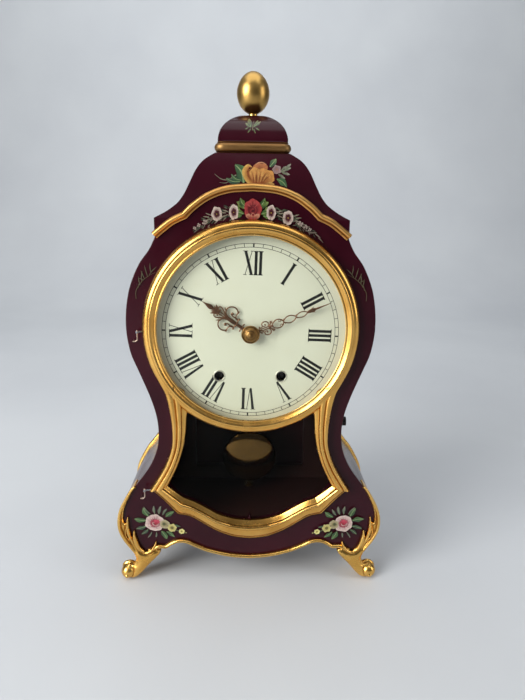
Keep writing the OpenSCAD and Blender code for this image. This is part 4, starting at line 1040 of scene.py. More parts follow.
M = Hand(math.radians(67.8), -3.0, -2.2)
M.hub(2.56, 5.2)
M.stroke([(4.8, 0), (7.5, 0), (9.0, 0)], (2.0, 1.3, 0.9))
M.both([(6.6, 0.4), (8.0, 1.6), (9.6, 1.7), (10.6, 2.4)], (0.9, 0.8, 0.7, 0.7))
M.dots(8.3, 2.5, 0.5)
M.both([(8.6, 0.3), (10.2, 0.8), (12.2, 0.7), (14.4, 0.8), (15.6, 2.2), (15.2, 4.2), (13.4, 5.2), (11.4, 4.9), (10.5, 3.6), (11.0, 2.3), (12.4, 1.9), (13.2, 2.7)], (0.8, 0.8, 0.8, 0.8, 0.8, 0.85, 0.85, 0.8, 0.75, 0.7, 0.6, 0.5))
M.dots(12.8, 3.0, 0.55)
M.both([(15.0, 0.6), (16.4, 1.6), (17.4, 3.4)], (0.9, 1.0, 0.9))
M.dots(17.6, 3.6, 0.62)
M.both([(17.0, 2.2), (18.2, 2.8), (19.0, 4.1)], (0.8, 0.7, 0.2))
M.stroke([(14.6, 0), (17.0, 0), (18.6, 0)], (0.8, 1.8, 0.9))
M.both([(17.6, 0.4), (18.8, 1.8), (21.2, 3.1), (23.8, 3.1), (25.8, 1.9), (26.8, 0.3)], (0.8, 0.85, 0.9, 0.9, 0.95, 1.0))
M.both([(25.6, 1.9), (24.6, 1.2), (23.6, 1.5)], (0.7, 0.6, 0.5))
M.dots(23.5, 1.7, 0.45)
M.both([(26.4, 0.3), (27.2, 1.2), (28.0, 2.2)], (0.9, 0.8, 0.2))
M.both([(26.8, 0.2), (28.4, 1.6), (31.0, 2.6), (33.6, 2.4), (35.6, 1.4), (37.0, 0.2)], (0.8, 0.8, 0.85, 0.85, 0.85, 0.9))
M.both([(36.4, 0.3), (37.2, 0.9), (38.0, 1.7)], (0.8, 0.7, 0.2))
M.both([(37.0, 0.2), (38.4, 1.2), (40.6, 1.9), (43.0, 1.8), (45.0, 0.9), (46.2, 0.1)], (0.7, 0.75, 0.8, 0.8, 0.8, 0.8))
M.stroke([(45.6, 0), (47.4, 0), (50.6, 0), (53.4, 0)], (1.0, 2.3, 3.0, 1.1))
M.both([(48.6, 0.4), (50.4, 1.3), (51.8, 2.1)], (1.0, 0.9, 0.2))
M.stroke([(52.6, 0), (54.4, 0), (57.4, 0), (61.0, 0), (65.6, 0)], (0.9, 1.5, 1.1, 0.7, 0.2))
piece("minute_hand_pierced", M.g, HANDM, body="minute_hand", reps=("minute_hand",), sharp=50, cav=(1.4, 1))

nut = [(1.56, 3.04), (6.4, 3.04), (6.95, 3.2), (7.0, 3.6), (6.95, 4.1), (6.7, 4.35), (6.35, 4.4), (6.15, 4.3), (6.0, 4.15), (5.8, 4.25), (5.3, 4.95), (4.7, 5.65), (4.1, 6.2), (3.7, 6.45), (3.5, 6.38), (3.3, 6.5), (2.6, 6.95), (1.9, 7.25), (1.5, 7.38), (1.3, 7.3), (1.1, 7.45), (0.5, 7.62), (0.02, 7.68)]
g = Geo().lathe_y(MX, MZ, nut, 72, closed=False)
piece("hand_nut_boss", g, BOSS, body="minute_hand", reps=("hand_nut",), sharp=60, cav=(1.1, 1))

# ------------------------------------------------------------------ pendulum bob, a thin lens
zb = 260.8 - 172
lens = [(24.5 * math.sin(a), 0.35 + 4.0 * math.cos(a)) for a in np.linspace(0.06, PI / 2 * 0.97, 30)] + [(24.5, 0.3)]
bob = [(0.02, 54 - 4.4)] + [(r, 54 - h_) for r, h_ in lens] + [(r, 54 + h_) for r, h_ in lens[::-1]] + [(0.02, 54 + 4.4)]
g = Geo().lathe_y(MX, zb, [(r, -y) for r, y in bob], 120, closed=False)
piece("pendulum_bob_turned", g, BOB, body="pendulum", reps=("pendulum_bob",), sharp=50)


# ------------------------------------------------------------------ leg mounts: cast leaves, scroll and ball
def remesh(name, geo, voxel, smooth, mat, body, reps, cav):
    me = geo.mesh(name + "_raw")
    o = bpy.data.objects.new(name + "_raw", me)
    bpy.context.scene.collection.objects.link(o)
    m = o.modifiers.new("r", "REMESH")
    m.mode = "VOXEL"
    m.voxel_size = voxel / 1000
    m.use_smooth_shade = True
    s = o.modifiers.new("s", "SMOOTH")
    s.factor = 0.5
    s.iterations = smooth
    bpy.context.view_layer.update()
    out = bpy.data.meshes.new_from_object(o.evaluated_get(bpy.context.evaluated_depsgraph_get()))
    bpy.data.objects.remove(o)
    bpy.data.meshes.remove(me)
    out.name = name
    out.materials.clear()
    return finish_mesh(name, out, mat, body, reps, 80, cav)


def solid_poly(geo, pts, y0, y1, s=1):
    a = [(s * p[0], y0, p[1]) for p in pts]
    b = [(s * p[0], y1, p[1]) for p in pts]
    geo.grid([a, b], cv=True, cap0=True, cap1=True)


def leafstroke(geo, pts, ws, y0, hgt, s=1, n=5):
    """Tapered leaf along (x, z) points standing hgt proud of y0; ws are half-widths."""
    P = spl(pts, n)
    m = len(P)
    w = np.interp(np.linspace(0, 1, m), np.linspace(0, 1, len(ws)), ws)
    hh = np.interp(np.linspace(0, 1, m), np.linspace(0, 1, len(hgt)), hgt) if hasattr(hgt, "__len__") else np.full(m, hgt)
    N = normals(P)
    rows = []
    for p, nn, w_, h_ in zip(P, N, w, hh):
        r = []
        for a in np.linspace(0, 2 * PI, 14, endpoint=False):
            q_ = p + nn * w_ * math.cos(a)
            r.append((s * q_[0], y0 - h_ * math.sin(a) if math.sin(a) > 0 else y0 - 0.35 * h_ * math.sin(a), q_[1]))
        rows.append(r)
    geo.grid(rows, cv=True, cap0=True, cap1=True)


def foot(geo, s, yc, depth, yb, front_y, ball_y, rb):
    """Scroll ball with its swirl and boss."""
    geo.ball((s * 103.2, ball_y, 7.5), rb - 0.3, 22)
    k = -1 if front_y < ball_y else 1
    # swirl: a ridge that winds up the ball's front towards a small boss
    pts, rad = [], []
    for i in range(46):
        t = i / 45
        a = math.radians(150 - 520 * t)
        q_ = (rb - 0.1) * (1 - 0.72 * t)
        yy = math.sqrt(max(rb * rb - q_ * q_, 0))
        pts.append((s * (103.2 + q_ * math.cos(a)), ball_y + k * yy * 0.97, 7.6 + q_ * math.sin(a)))
        rad.append(1.05 - 0.35 * t)
    pts = [p for p in pts]
    geo.tube(pts, rad, 10)
    geo.ball((s * 103.0, ball_y + k * (rb - 0.9), 7.4), 1.9, 10, 0.8)


def inflate(geo, outline, hfun, back, s, step=0.55):
    """Closed relief over an outline: the front stands hfun(distance to the edge, x, z) proud of y 0, the back lies at back(z)."""
    P = np.array(outline)
    Q = np.roll(P, -1, axis=0)
    x0, z0 = P.min(0) - step
    x1, z1 = P.max(0) + step
    X, Z = np.meshgrid(np.arange(x0, x1, step), np.arange(z0, z1, step), indexing="ij")
    pts = np.stack([X.ravel(), Z.ravel()], 1)
    best = np.full(len(pts), 1e9)
    inside = np.zeros(len(pts), bool)
    for a_, b_ in zip(P, Q):
        d_ = b_ - a_
        t = np.clip(((pts - a_) @ d_) / max(d_ @ d_, 1e-9), 0, 1)
        best = np.minimum(best, np.linalg.norm(pts - a_ - t[:, None] * d_, axis=1))
        c_ = (a_[1] > pts[:, 1]) != (b_[1] > pts[:, 1])
        xi = a_[0] + (pts[:, 1] - a_[1]) * d_[0] / (d_[1] if abs(d_[1]) > 1e-12 else 1e-12)
        inside ^= c_ & (pts[:, 0] < xi)
    n, m = X.shape
    D = np.where(inside, best, -best).reshape(n, m)
    cell = (D[:-1, :-1] > -0.3) & (D[1:, :-1] > -0.3) & (D[:-1, 1:] > -0.3) & (D[1:, 1:] > -0.3)
    ids = {}
    b0 = len(geo.v)

    def vid(i, j, f_):
        k = (i, j, f_)
        if k not in ids:
            x, z, d_ = X[i, j], Z[i, j], max(D[i, j], 0.0)
            y = -hfun(d_, x, z) if f_ == 0 else back(z)
            ids[k] = len(geo.v)
            geo.v.append((s * x, y, z))
        return ids[k]
    for i in range(n - 1):
        for j in range(m - 1):
            if not cell[i, j]:
                continue
            geo.f.append((vid(i, j, 0), vid(i + 1, j, 0), vid(i + 1, j + 1, 0), vid(i, j + 1, 0)))
            geo.f.append((vid(i, j, 1), vid(i, j + 1, 1), vid(i + 1, j + 1, 1), vid(i + 1, j, 1)))
            for di, dj, p_, q_ in ((-1, 0, (i, j), (i, j + 1)), (1, 0, (i + 1, j), (i + 1, j + 1)), (0, -1, (i, j), (i + 1, j)), (0, 1, (i, j + 1), (i + 1, j + 1))):
                a_, c_ = i + di, j + dj
                if not (0 <= a_ < n - 1 and 0 <= c_ < m - 1) or not cell[a_, c_]:
                    geo.f.append((vid(*p_, 0), vid(*q_, 0), vid(*q_, 1), vid(*p_, 1)))


def smooth01(t):
    t = min(max(t, 0.0), 1.0)
    return t * t * (3 - 2 * t)


LEG = np.concatenate([
    spl([[95.0, 88.6], [98.3, 84.2], [103.0, 76.1], [107.2, 67.1], [109.3, 58.1], [108.9, 48.4], [105.4, 39.3], [101.0, 31.6], [97.8, 26.0], [95.9, 21.2], [95.8, 18.2], [96.9, 14.9], [99.0, 12.8]], 5),
    spl([[99.6, 9.0], [100.6, 5.0], [102.4, 1.9]], 3), spl([[99.8, 1.2], [96.6, 2.2], [93.6, 4.8], [90.2, 8.6], [86.4, 13.4], [82.0, 18.2], [78.4, 22.2], [76.0, 25.2], [75.2, 27.6], [76.4, 29.4], [78.2, 29.8]], 4),
    spl([[78.9, 36.0], [80.9, 32.6], [83.0, 29.6], [85.4, 27.7], [88.2, 27.1], [90.6, 28.6], [92.8, 31.9], [94.4, 36.2], [95.6, 40.8], [96.3, 46.6]], 4),
    spl([[96.5, 46.6], [98.0, 42.4], [98.9, 38.4]], 4), spl([[99.8, 38.2], [101.7, 40.2], [103.1, 43.8], [103.2, 48.0], [102.5, 53.2], [101.3, 59.6]], 4),
    spl([[101.5, 59.6], [103.3, 56.0], [104.5, 54.4]], 3), spl([[105.1, 56.6], [105.0, 60], [104.4, 64.5], [102.8, 70.4], [99.6, 77.2], [96.9, 82.6], [94.0, 87.4]], 4)])


def leg_h(d, x, z):
    lip = (0.75 + 1.25 * math.exp(-((d - 0.85) / 0.6) ** 2)) * math.sqrt(min(d / 0.55, 1.0))
    body = 3.3 * math.sqrt(max(1 - (1 - min(d / 5.6, 1.0)) ** 2, 0.0))
    k = smooth01((31.5 - z) / 7.5)
    return 0.12 + lip * (1 - k) + body * k


EDGE = spl([[94.4, 88.6], [98.0, 84.1], [102.6, 76.0], [106.8, 67.0], [108.8, 58], [108.4, 48.5], [104.9, 39.4], [100.4, 31.7], [97.1, 25.8], [95.6, 20.4], [96.4, 15.4], [99.4, 12.0], [103.2, 12.6]], 6)
for s, nm in ((1, "right"), (-1, "left")):
    g = Geo()
    m = len(EDGE)
    q = np.linspace(0, 1, m)
    rad = np.interp(q, [0, 0.12, 0.48, 0.6, 0.7, 0.78, 0.88, 1], [0.8, 1.15, 1.35, 1.1, 0.8, 0.9, 1.5, 1.7])
    dy = np.interp(q, [0, 0.48, 0.6, 0.7, 0.85, 1], [-1.5, -1.6, -1.2, -0.5, 0.0, 1.0])
    g.tube([(s * p[0], y_, p[1]) for p, y_ in zip(EDGE, dy)], rad, 14, 1.0)
    k = int(m * 0.62)
    g.grid([[(s * a[0], -1.2, a[1]), (s * b[0], -1.2, b[1]), (s * b[0], 10.9, b[1]), (s * a[0], 10.9, a[1])] for a, b in zip(off(EDGE[:k], -0.4), off(EDGE[:k], 1.5))], cv=True, cap0=True, cap1=True)
    inflate(g, LEG, leg_h, lambda z: 9.4 * smooth01((29.0 - z) / 1.2) + 0.0, s)
    leafstroke(g, [[97.2, 34.4], [99.4, 39.2], [101.2, 45.0], [101.9, 51.0], [101.7, 56.2], [101.2, 60.8]], (0.8, 1.3, 1.7, 1.6, 1.1, 0.45), -1.0, (1.6, 2.2, 2.6, 2.6, 2.2, 1.6), s, 5)
    leafstroke(g, [[89.2, 27.4], [92.4, 30.0], [94.9, 34.6], [96.2, 39.6], [96.7, 43.8], [96.5, 48.2]], (1.2, 1.8, 2.1, 1.9, 1.3, 0.5), -1.0, (1.8, 2.6, 2.9, 2.8, 2.4, 1.6), s, 5)
    leafstroke(g, [[90.0, 26.6], [86.8, 26.6], [83.8, 28.2], [81.2, 31.2], [79.4, 34.6], [78.6, 37.4]], (0.9, 1.3, 1.6, 1.5, 1.0, 0.45), -1.0, (1.6, 2.2, 2.6, 2.6, 2.2, 1.6), s, 5)
    # ball with the curl that winds over it
    g.ball((s * 103.7, 2.2, 6.6), 6.3, 22)
    g.tube([(s * (103.4 + 5.1 * math.cos(math.radians(a))), 4.6, 7.9 + 5.1 * math.sin(math.radians(a)))for a in range(185, -36, -12)], np.interp(np.linspace(0, 1, 19), [0, 0.4, 0.8, 1], [2.3, 2.1, 1.5, 0.8]), 12)
    g.ball((s * 104.2, -3.4, 4.8), 1.7, 10, 0.9)
    remesh(nm + "_front_leg_cast", g, 0.32, 9, GILT, "case", (nm + "_front_leg",), (0.6, 3))

# rear feet
g = Geo()
for s in (1, -1):
    body_c = spl([[93.6, 33.5], [92.2, 25], [91.8, 18], [92.8, 11.5], [94.2, 6], [94.9, 1.2]], 5)
    bw = np.interp(np.linspace(0, 1, len(body_c)), np.linspace(0, 1, 6), [9.2, 7.4, 5.0, 4.6, 4.1, 3.7])
    rows = []
    for p, w_ in zip(body_c, bw):
        rows.append([(s * (p[0] + w_ * math.copysign(abs(math.cos(a)) ** 0.8, math.cos(a))), 80.2 - 5.1 * math.copysign(abs(math.sin(a)) ** 0.7, math.sin(a)), p[1]) for a in np.linspace(0, 2 * PI, 28, endpoint=False)])
    g.grid(rows, cv=True, cap0=True, cap1=True)
    leafstroke(g, [[101.6, 34.5], [98.4, 29], [95.6, 22.5], [95.0, 17], [96.8, 11.8], [100.0, 9.4]], (1.4, 1.5, 1.4, 1.5, 1.6, 1.4), 80.2, 4.4, s, 6)
    leafstroke(g, [[86.0, 33.5], [87.6, 27], [89.4, 20], [91.8, 12]], (1.0, 1.2, 1.0, 0.5), 76.6, 1.6, s, 6)
    foot(g, s, 80, 0, 0, 90, 80, 7.1)
remesh("rear_feet_cast", g, 0.5, 3, GILT, "case", ("rear_feet",), (0.55, 3))

# rear mouldings: a bead round the back edge of the case, both sides
g = Geo()
rp = side[12:-6]
for s in (1, -1):
    rows = []
    N = normals(rp)
    prof = [(0.12, 81.2), (0.12, 86.02), (3.5, 86.02), (3.5, 87.1), (2.2, 87.55), (0.6, 87.6)] + [(-0.9 + 1.4 * math.cos(t), 84.2 + 3.2 * math.sin(t)) for t in np.linspace(1.25, -1.35, 12)]
    prof = [(0.12, 81.2), (0.12, 86.02), (3.5, 86.02), (3.5, 87.0), (2.6, 87.5), (1.2, 87.6), (-0.4, 87.4)] + [(-0.9 - 1.35 * math.sin(t), 84.3 + 2.9 * math.cos(t)) for t in np.linspace(0.25, PI * 0.93, 11)]
    for p, nn in zip(rp, N):
        rows.append([(s * (p[0] + nn[0] * d_), y, p[1] + nn[1] * d_) for d_, y in prof])
    g.grid(rows, cv=True, cap0=True, cap1=True)
piece("rear_mouldings_gilt", g, GILT, reps=("rear_mouldings",), sharp=50, cav=(0.5, 1))


# ------------------------------------------------------------------ painted flowers
class Brush:
    def __init__(self, yfun):
        self.g = Geo()
        self.y = yfun
        self.k = 0
        self.squeeze = None

    def sheet(self, rows, cols):
        self.k += 1
        if self.squeeze:
            cx, cz, sx, sz = self.squeeze
            rows = [[(cx + (x - cx) * sx, cz + (z - cz) * sz) for x, z in r] for r in rows]
        lift = 0.03 + 0.0045 * self.k
        self.g.grid([[(x, self.y(x, z) - lift, z) for x, z in r] for r in rows])
        for r in cols:
            for c_ in r:
                self.g.c.append(tuple(c_))

    def stroke(self, pts, w, c1, c2, c3=None, n=5, m=5, jit=0.10):
        """Brush stroke: c1 on one side, c2 on the other, c3 towards the tip."""
        P = spl(pts, n) if len(pts) > 2 else resample(pts, n + 1)
        ws = np.interp(np.linspace(0, 1, len(P)), np.linspace(0, 1, len(w)), w) if hasattr(w, "__len__") else np.full(len(P), w)
        N = normals(P)
        c1, c2 = np.array(srgb(*c1)), np.array(srgb(*c2))
        c3 = np.array(srgb(*c3)) if c3 else None
        rows, cols = [], []
        ph = R.random() * 6
        for i, (p, nn, w_) in enumerate(zip(P, N, ws)):
            t = i / (len(P) - 1)
            rr, cc = [], []
            for j in range(m):
                a = j / (m - 1)
                d_ = (a - 0.5) * w_ * (1 + 0.12 * math.sin(ph + 9 * t + 5 * a))
                rr.append((p[0] + nn[0] * d_, p[1] + nn[1] * d_))
                col = c1 * (1 - a) + c2 * a
                if c3 is not None:
                    k = max(0, (t - 0.45) / 0.55) ** 1.3
                    col = col * (1 - k) + c3 * k
                col = col * (1 + jit * (R.random() - 0.5) * 2)
                col[3] = 1
                cc.append(np.clip(col, 0, 1))
            rows.append(rr)
            cols.append(cc)
        self.sheet(rows, cols)

    def leaf(self, x, z, deg, L, wd, c1=(70, 112, 62), c2=(42, 78, 46), c3=(120, 146, 96), bend=0.0):
        a = math.radians(deg)
        dx, dz = math.cos(a), math.sin(a)
        px, pz = -dz, dx
        pts = [(x + dx * L * t + px * bend * L * math.sin(PI * t) * 0.5, z + dz * L * t + pz * bend * L * math.sin(PI * t) * 0.5) for t in (0, 0.25, 0.5, 0.75, 1)]
        self.stroke(pts, (wd * 0.15, wd * 0.8, wd, wd * 0.7, wd * 0.06), c1, c2, c3, n=4)
        self.stroke([pts[0], pts[2], pts[4]], (wd * 0.1, wd * 0.12, wd * 0.03), (150, 168, 118), (110, 136, 84), n=5, m=2)

    def line(self, pts, w, c_):
        self.stroke(pts, (w, w * 0.8, w * 0.3), c_, c_, n=6, m=2)

    def disc(self, x, z, r, c1, c2, n=12):
        rows, cols = [], []
        for q_ in (0.02, 0.5, 1.0):
            rows.append([(x + r * q_ * math.cos(2 * PI * i / n), z + r * q_ * math.sin(2 * PI * i / n)) for i in range(n + 1)])
            c_ = np.array(srgb(*c1)) * (1 - q_) + np.array(srgb(*c2)) * q_
            c_[3] = 1
            cols.append([np.clip(c_ * (1 + 0.12 * (R.random() - 0.5)), 0, 1) for _ in range(n + 1)])
        self.sheet(rows, cols)

    def petal(self, x, z, deg, L, wd, base, edge):
        """Broad petal with a pale rim: fans out from its base."""
        a0_ = math.radians(deg)
        rows, cols = [], []
        n, m = 5, 9
        cb, ce = np.array(srgb(*base)), np.array(srgb(*edge))
        ph = R.random() * 6
        for i in range(n):
            t = i / (n - 1)
            rr, cc = [], []
            for j in range(m):
                u = (j / (m - 1) - 0.5) * 2
                w_ = wd * (0.25 + 0.85 * math.sin(PI * 0.5 * min(1, t * 1.15)))
                lx = L * t * (1 - 0.28 * u * u * t) * (1 + 0.05 * math.sin(ph + 4 * u))
                ly = w_ * 0.5 * u
                rr.append((x + lx * math.cos(a0_) - ly * math.sin(a0_), z + lx * math.sin(a0_) + ly * math.cos(a0_)))
                k = min(1, max(0, t * 1.25 - 0.1) ** 1.4 + 0.25 * abs(u) * t)
                col = (cb * (1 - k) + ce * k) * (1 + 0.09 * (R.random() - 0.5) * 2 + 0.06 * math.sin(7 * u + ph))
                col[3] = 1
                cc.append(np.clip(col, 0, 1))
            rows.append(rr)
            cols.append(cc)
        self.sheet(rows, cols)

    def rose(self, x, z, r, outer, rim, heart, dark, turn=0):
        for i in range(6):
            self.petal(x + 0.18 * r * math.cos(math.radians(60 * i + turn)), z + 0.18 * r * math.sin(math.radians(60 * i + turn)), 60 * i + turn + R.uniform(-8, 8), r * R.uniform(0.8, 0.95), r * 1.05, outer, rim)
        for i in range(4):
            self.petal(x, z - 0.04 * r, 90 * i + 30 + turn, r * 0.58, r * 0.75, heart, outer)
        self.disc(x, z - 0.05 * r, r * 0.42, dark, heart)
        for i in range(3):
            q_ = r * (0.16 + 0.12 * i)
            a = turn + 130 * i
            self.stroke([(x + q_ * math.cos(math.radians(a + b)), z - 0.05 * r + q_ * math.sin(math.radians(a + b))) for b in (0, 45, 90, 135, 180)], (r * 0.03, r * 0.1, r * 0.13, r * 0.1, r * 0.02), rim, outer, n=4, m=3)
        for b in (205, 250, 300, 340):
            q_ = r * 0.62
            self.stroke([(x + q_ * math.cos(math.radians(b - 18 + turn * 0)), z + q_ * math.sin(math.radians(b - 18))), (x + q_ * 1.06 * math.cos(math.radians(b)), z + q_ * 1.06 * math.sin(math.radians(b))), (x + q_ * math.cos(math.radians(b + 18)), z + q_ * math.sin(math.radians(b + 18)))], (r * 0.02, r * 0.1, r * 0.02), rim, rim, n=4, m=2)

    def pansy(self, x, z, r, turn=0, pale=(214, 196, 200), rim=(232, 222, 220), dark=(96, 22, 40)):
        for d_ in (90, 160, 20, 230, 310):
            a = d_ + turn
            self.petal(x + 0.1 * r * math.cos(math.radians(a)), z + 0.1 * r * math.sin(math.radians(a)), a, r * 0.95, r * 0.98, pale, rim)
        for d_ in (160, 20, 230, 310, 90):
            a = d_ + turn
            self.petal(x, z, a, r * 0.56, r * 0.44, dark, (78, 24, 34))
        self.disc(x, z, r * 0.2, (24, 6, 10), dark, 10)
        self.disc(x, z - 0.02 * r, r * 0.08, (214, 180, 70), (190, 150, 60), 8)

    def daisy(self, x, z, r, c1=(206, 190, 96), c2=(226, 216, 140), turn=0):
        for i in range(6):
            self.petal(x, z, 60 * i + turn, r, r * 0.8, c1, c2)
        self.disc(x, z, r * 0.3, (96, 88, 40), (150, 140, 60), 9)

    def done(self, name):
        return piece(name, self.g, PAINT, toward=(0, -1, 0), sharp=80)


GREY1, GREY2, GREY3 = (96, 104, 84), (62, 74, 58), (150, 150, 132)

# hood: an orange-yellow rose with its leaves
b = Brush(lambda x, z: hood_y(z))
b.line([(-12, 333), (-18, 329.6), (-23, 330.2), (-27.5, 333.5)], 0.7, (120, 116, 96))
b.line([(-14, 331), (-19, 327.4), (-24, 327.6)], 0.6, (104, 104, 84))
b.leaf(-9, 328.4, 168, 10.5, 4.2, (42, 72, 50), (30, 52, 40), (78, 102, 78), 0.2)
b.leaf(-6.6, 327.6, 116, 14.0, 9.6, (40, 70, 44), (78, 114, 66), (52, 84, 50), -0.3)
b.leaf(-8.5, 329.5, 150, 8, 3.2, (58, 92, 56), (40, 68, 44), None, 0.3)
b.leaf(12.4, 339.0, 52, 7.4, 4.2, (58, 86, 58), (40, 64, 44))
b.leaf(17.5, 330.6, -38, 9.2, 4.8, (48, 84, 50), (68, 108, 64), (42, 70, 46), 0.2)
for k, (ax, az, dg) in enumerate(((19, 335.6, 12), (20.6, 336.8, 34), (21.4, 335.0, -12), (22.6, 336.4, 24), (18.6, 333.8, -30), (23.6, 337.6, 44))):
    b.leaf(ax, az, dg, 5.6, 2.0, (112, 108, 98), (80, 82, 72), (160, 150, 138))
for dg in (40, 110, 180, 250, 320):
    b.petal(17.4, 337.2, dg, 3.3, 2.9, (120, 88, 86), (148, 124, 120))
b.disc(17.4, 337.2, 0.8, (120, 80, 60), (150, 110, 90), 8)
OR1, OR2, OR3, OR4 = (129, 62, 22), (160, 93, 40), (181, 127, 64), (96, 41, 17)
b.petal(6.0, 330.6, 96, 11.2, 10.4, OR4, (164, 100, 58))
b.stroke([(1.8, 340.0), (4.0, 341.6), (7.0, 341.9), (10.0, 340.4)], (0.2, 1.0, 1.1, 0.2), (202, 150, 112), (150, 86, 44), n=4, m=3)
b.petal(6.4, 327.2, 44, 11.4, 8.8, OR4, (190, 132, 66))
b.petal(4.6, 325.2, 62, 13.8, 10.4, OR1, (190, 134, 68))
b.petal(2.4, 324.8, 92, 13.4, 10.6, OR1, (196, 142, 74))
b.stroke([(2.6, 325.0), (-1.6, 327.2), (-4.6, 331.2), (-5.6, 335.8), (-3.4, 339.4), (-0.6, 338.6)], (0.9, 3.0, 3.9, 3.7, 2.6, 0.5), (206, 164, 84), (146, 82, 30), n=5, m=6)
b.stroke([(-0.8, 329.4), (-2.8, 332.6), (-3.2, 336.0), (-1.4, 337.6)], (0.3, 1.5, 1.4, 0.3), (116, 54, 20), (150, 84, 34), n=4, m=3)
for x0, z0, x1, z1, k in ((0.6, 327.4, -0.8, 335.8, 0.5), (2.6, 326.6, 2.4, 336.6, 0.2), (4.6, 326.6, 6.2, 336.4, -0.3), (6.2, 327.4, 10.0, 335.2, -0.7), (7.6, 327.8, 12.2, 332.6, -0.8)):
    b.stroke([(x0, z0), ((x0 + x1) / 2 + k, (z0 + z1) / 2), (x1, z1)], (0.12, 0.6, 0.1), (104, 46, 16), (128, 66, 26), n=4, m=2)
for x0, z0, x1, z1, k in ((1.6, 328.0, 0.8, 337.4, 0.2), (3.6, 327.8, 4.4, 337.6, 0.1), (5.6, 328.2, 8.4, 337.0, -0.3), (7.4, 328.8, 11.8, 334.6, -0.6)):
    b.stroke([(x0, z0), ((x0 + x1) / 2 + k, (z0 + z1) / 2), (x1, z1)], (0.1, 0.5, 0.12), (214, 170, 100), OR3, n=4, m=2)
b.leaf(1.6, 325.2, 196, 4.4, 2.2, (70, 92, 48), (44, 66, 38))
b.petal(8.0, 326.4, 4, 7.4, 3.6, (129, 79, 38), (177, 136, 72))
b.leaf(6.6, 325.0, -6, 5.0, 2.0, (103, 83, 41), (146, 115, 64))
b.done("flowers_hood")

# dome: a small sprig
b = Brush(lambda x, z: dome_y(z))
for x0, z0, dg, L, wd in ((-1.6, 366.6, 102, 7.0, 3.4), (0.4, 366.6, 60, 6.6, 2.0), (1.2, 367.4, 42, 6.0, 2.2), (-2.2, 366.8, 136, 4.6, 2.4), (0.4, 365.4, -66, 3.4, 1.1), (-1.8, 365.6, 236, 3.6, 1.2), (1.8, 366.4, -34, 3.4, 1.2), (-3.4, 366.4, 208, 2.6, 1.0)):
    b.leaf(x0, z0, dg, L, wd, (78, 88, 52), (52, 64, 40), (124, 126, 78))
b.line([(-0.4, 364.4), (-0.2, 368), (0.6, 372)], 0.4, (118, 118, 78))
b.done("flowers_dome")

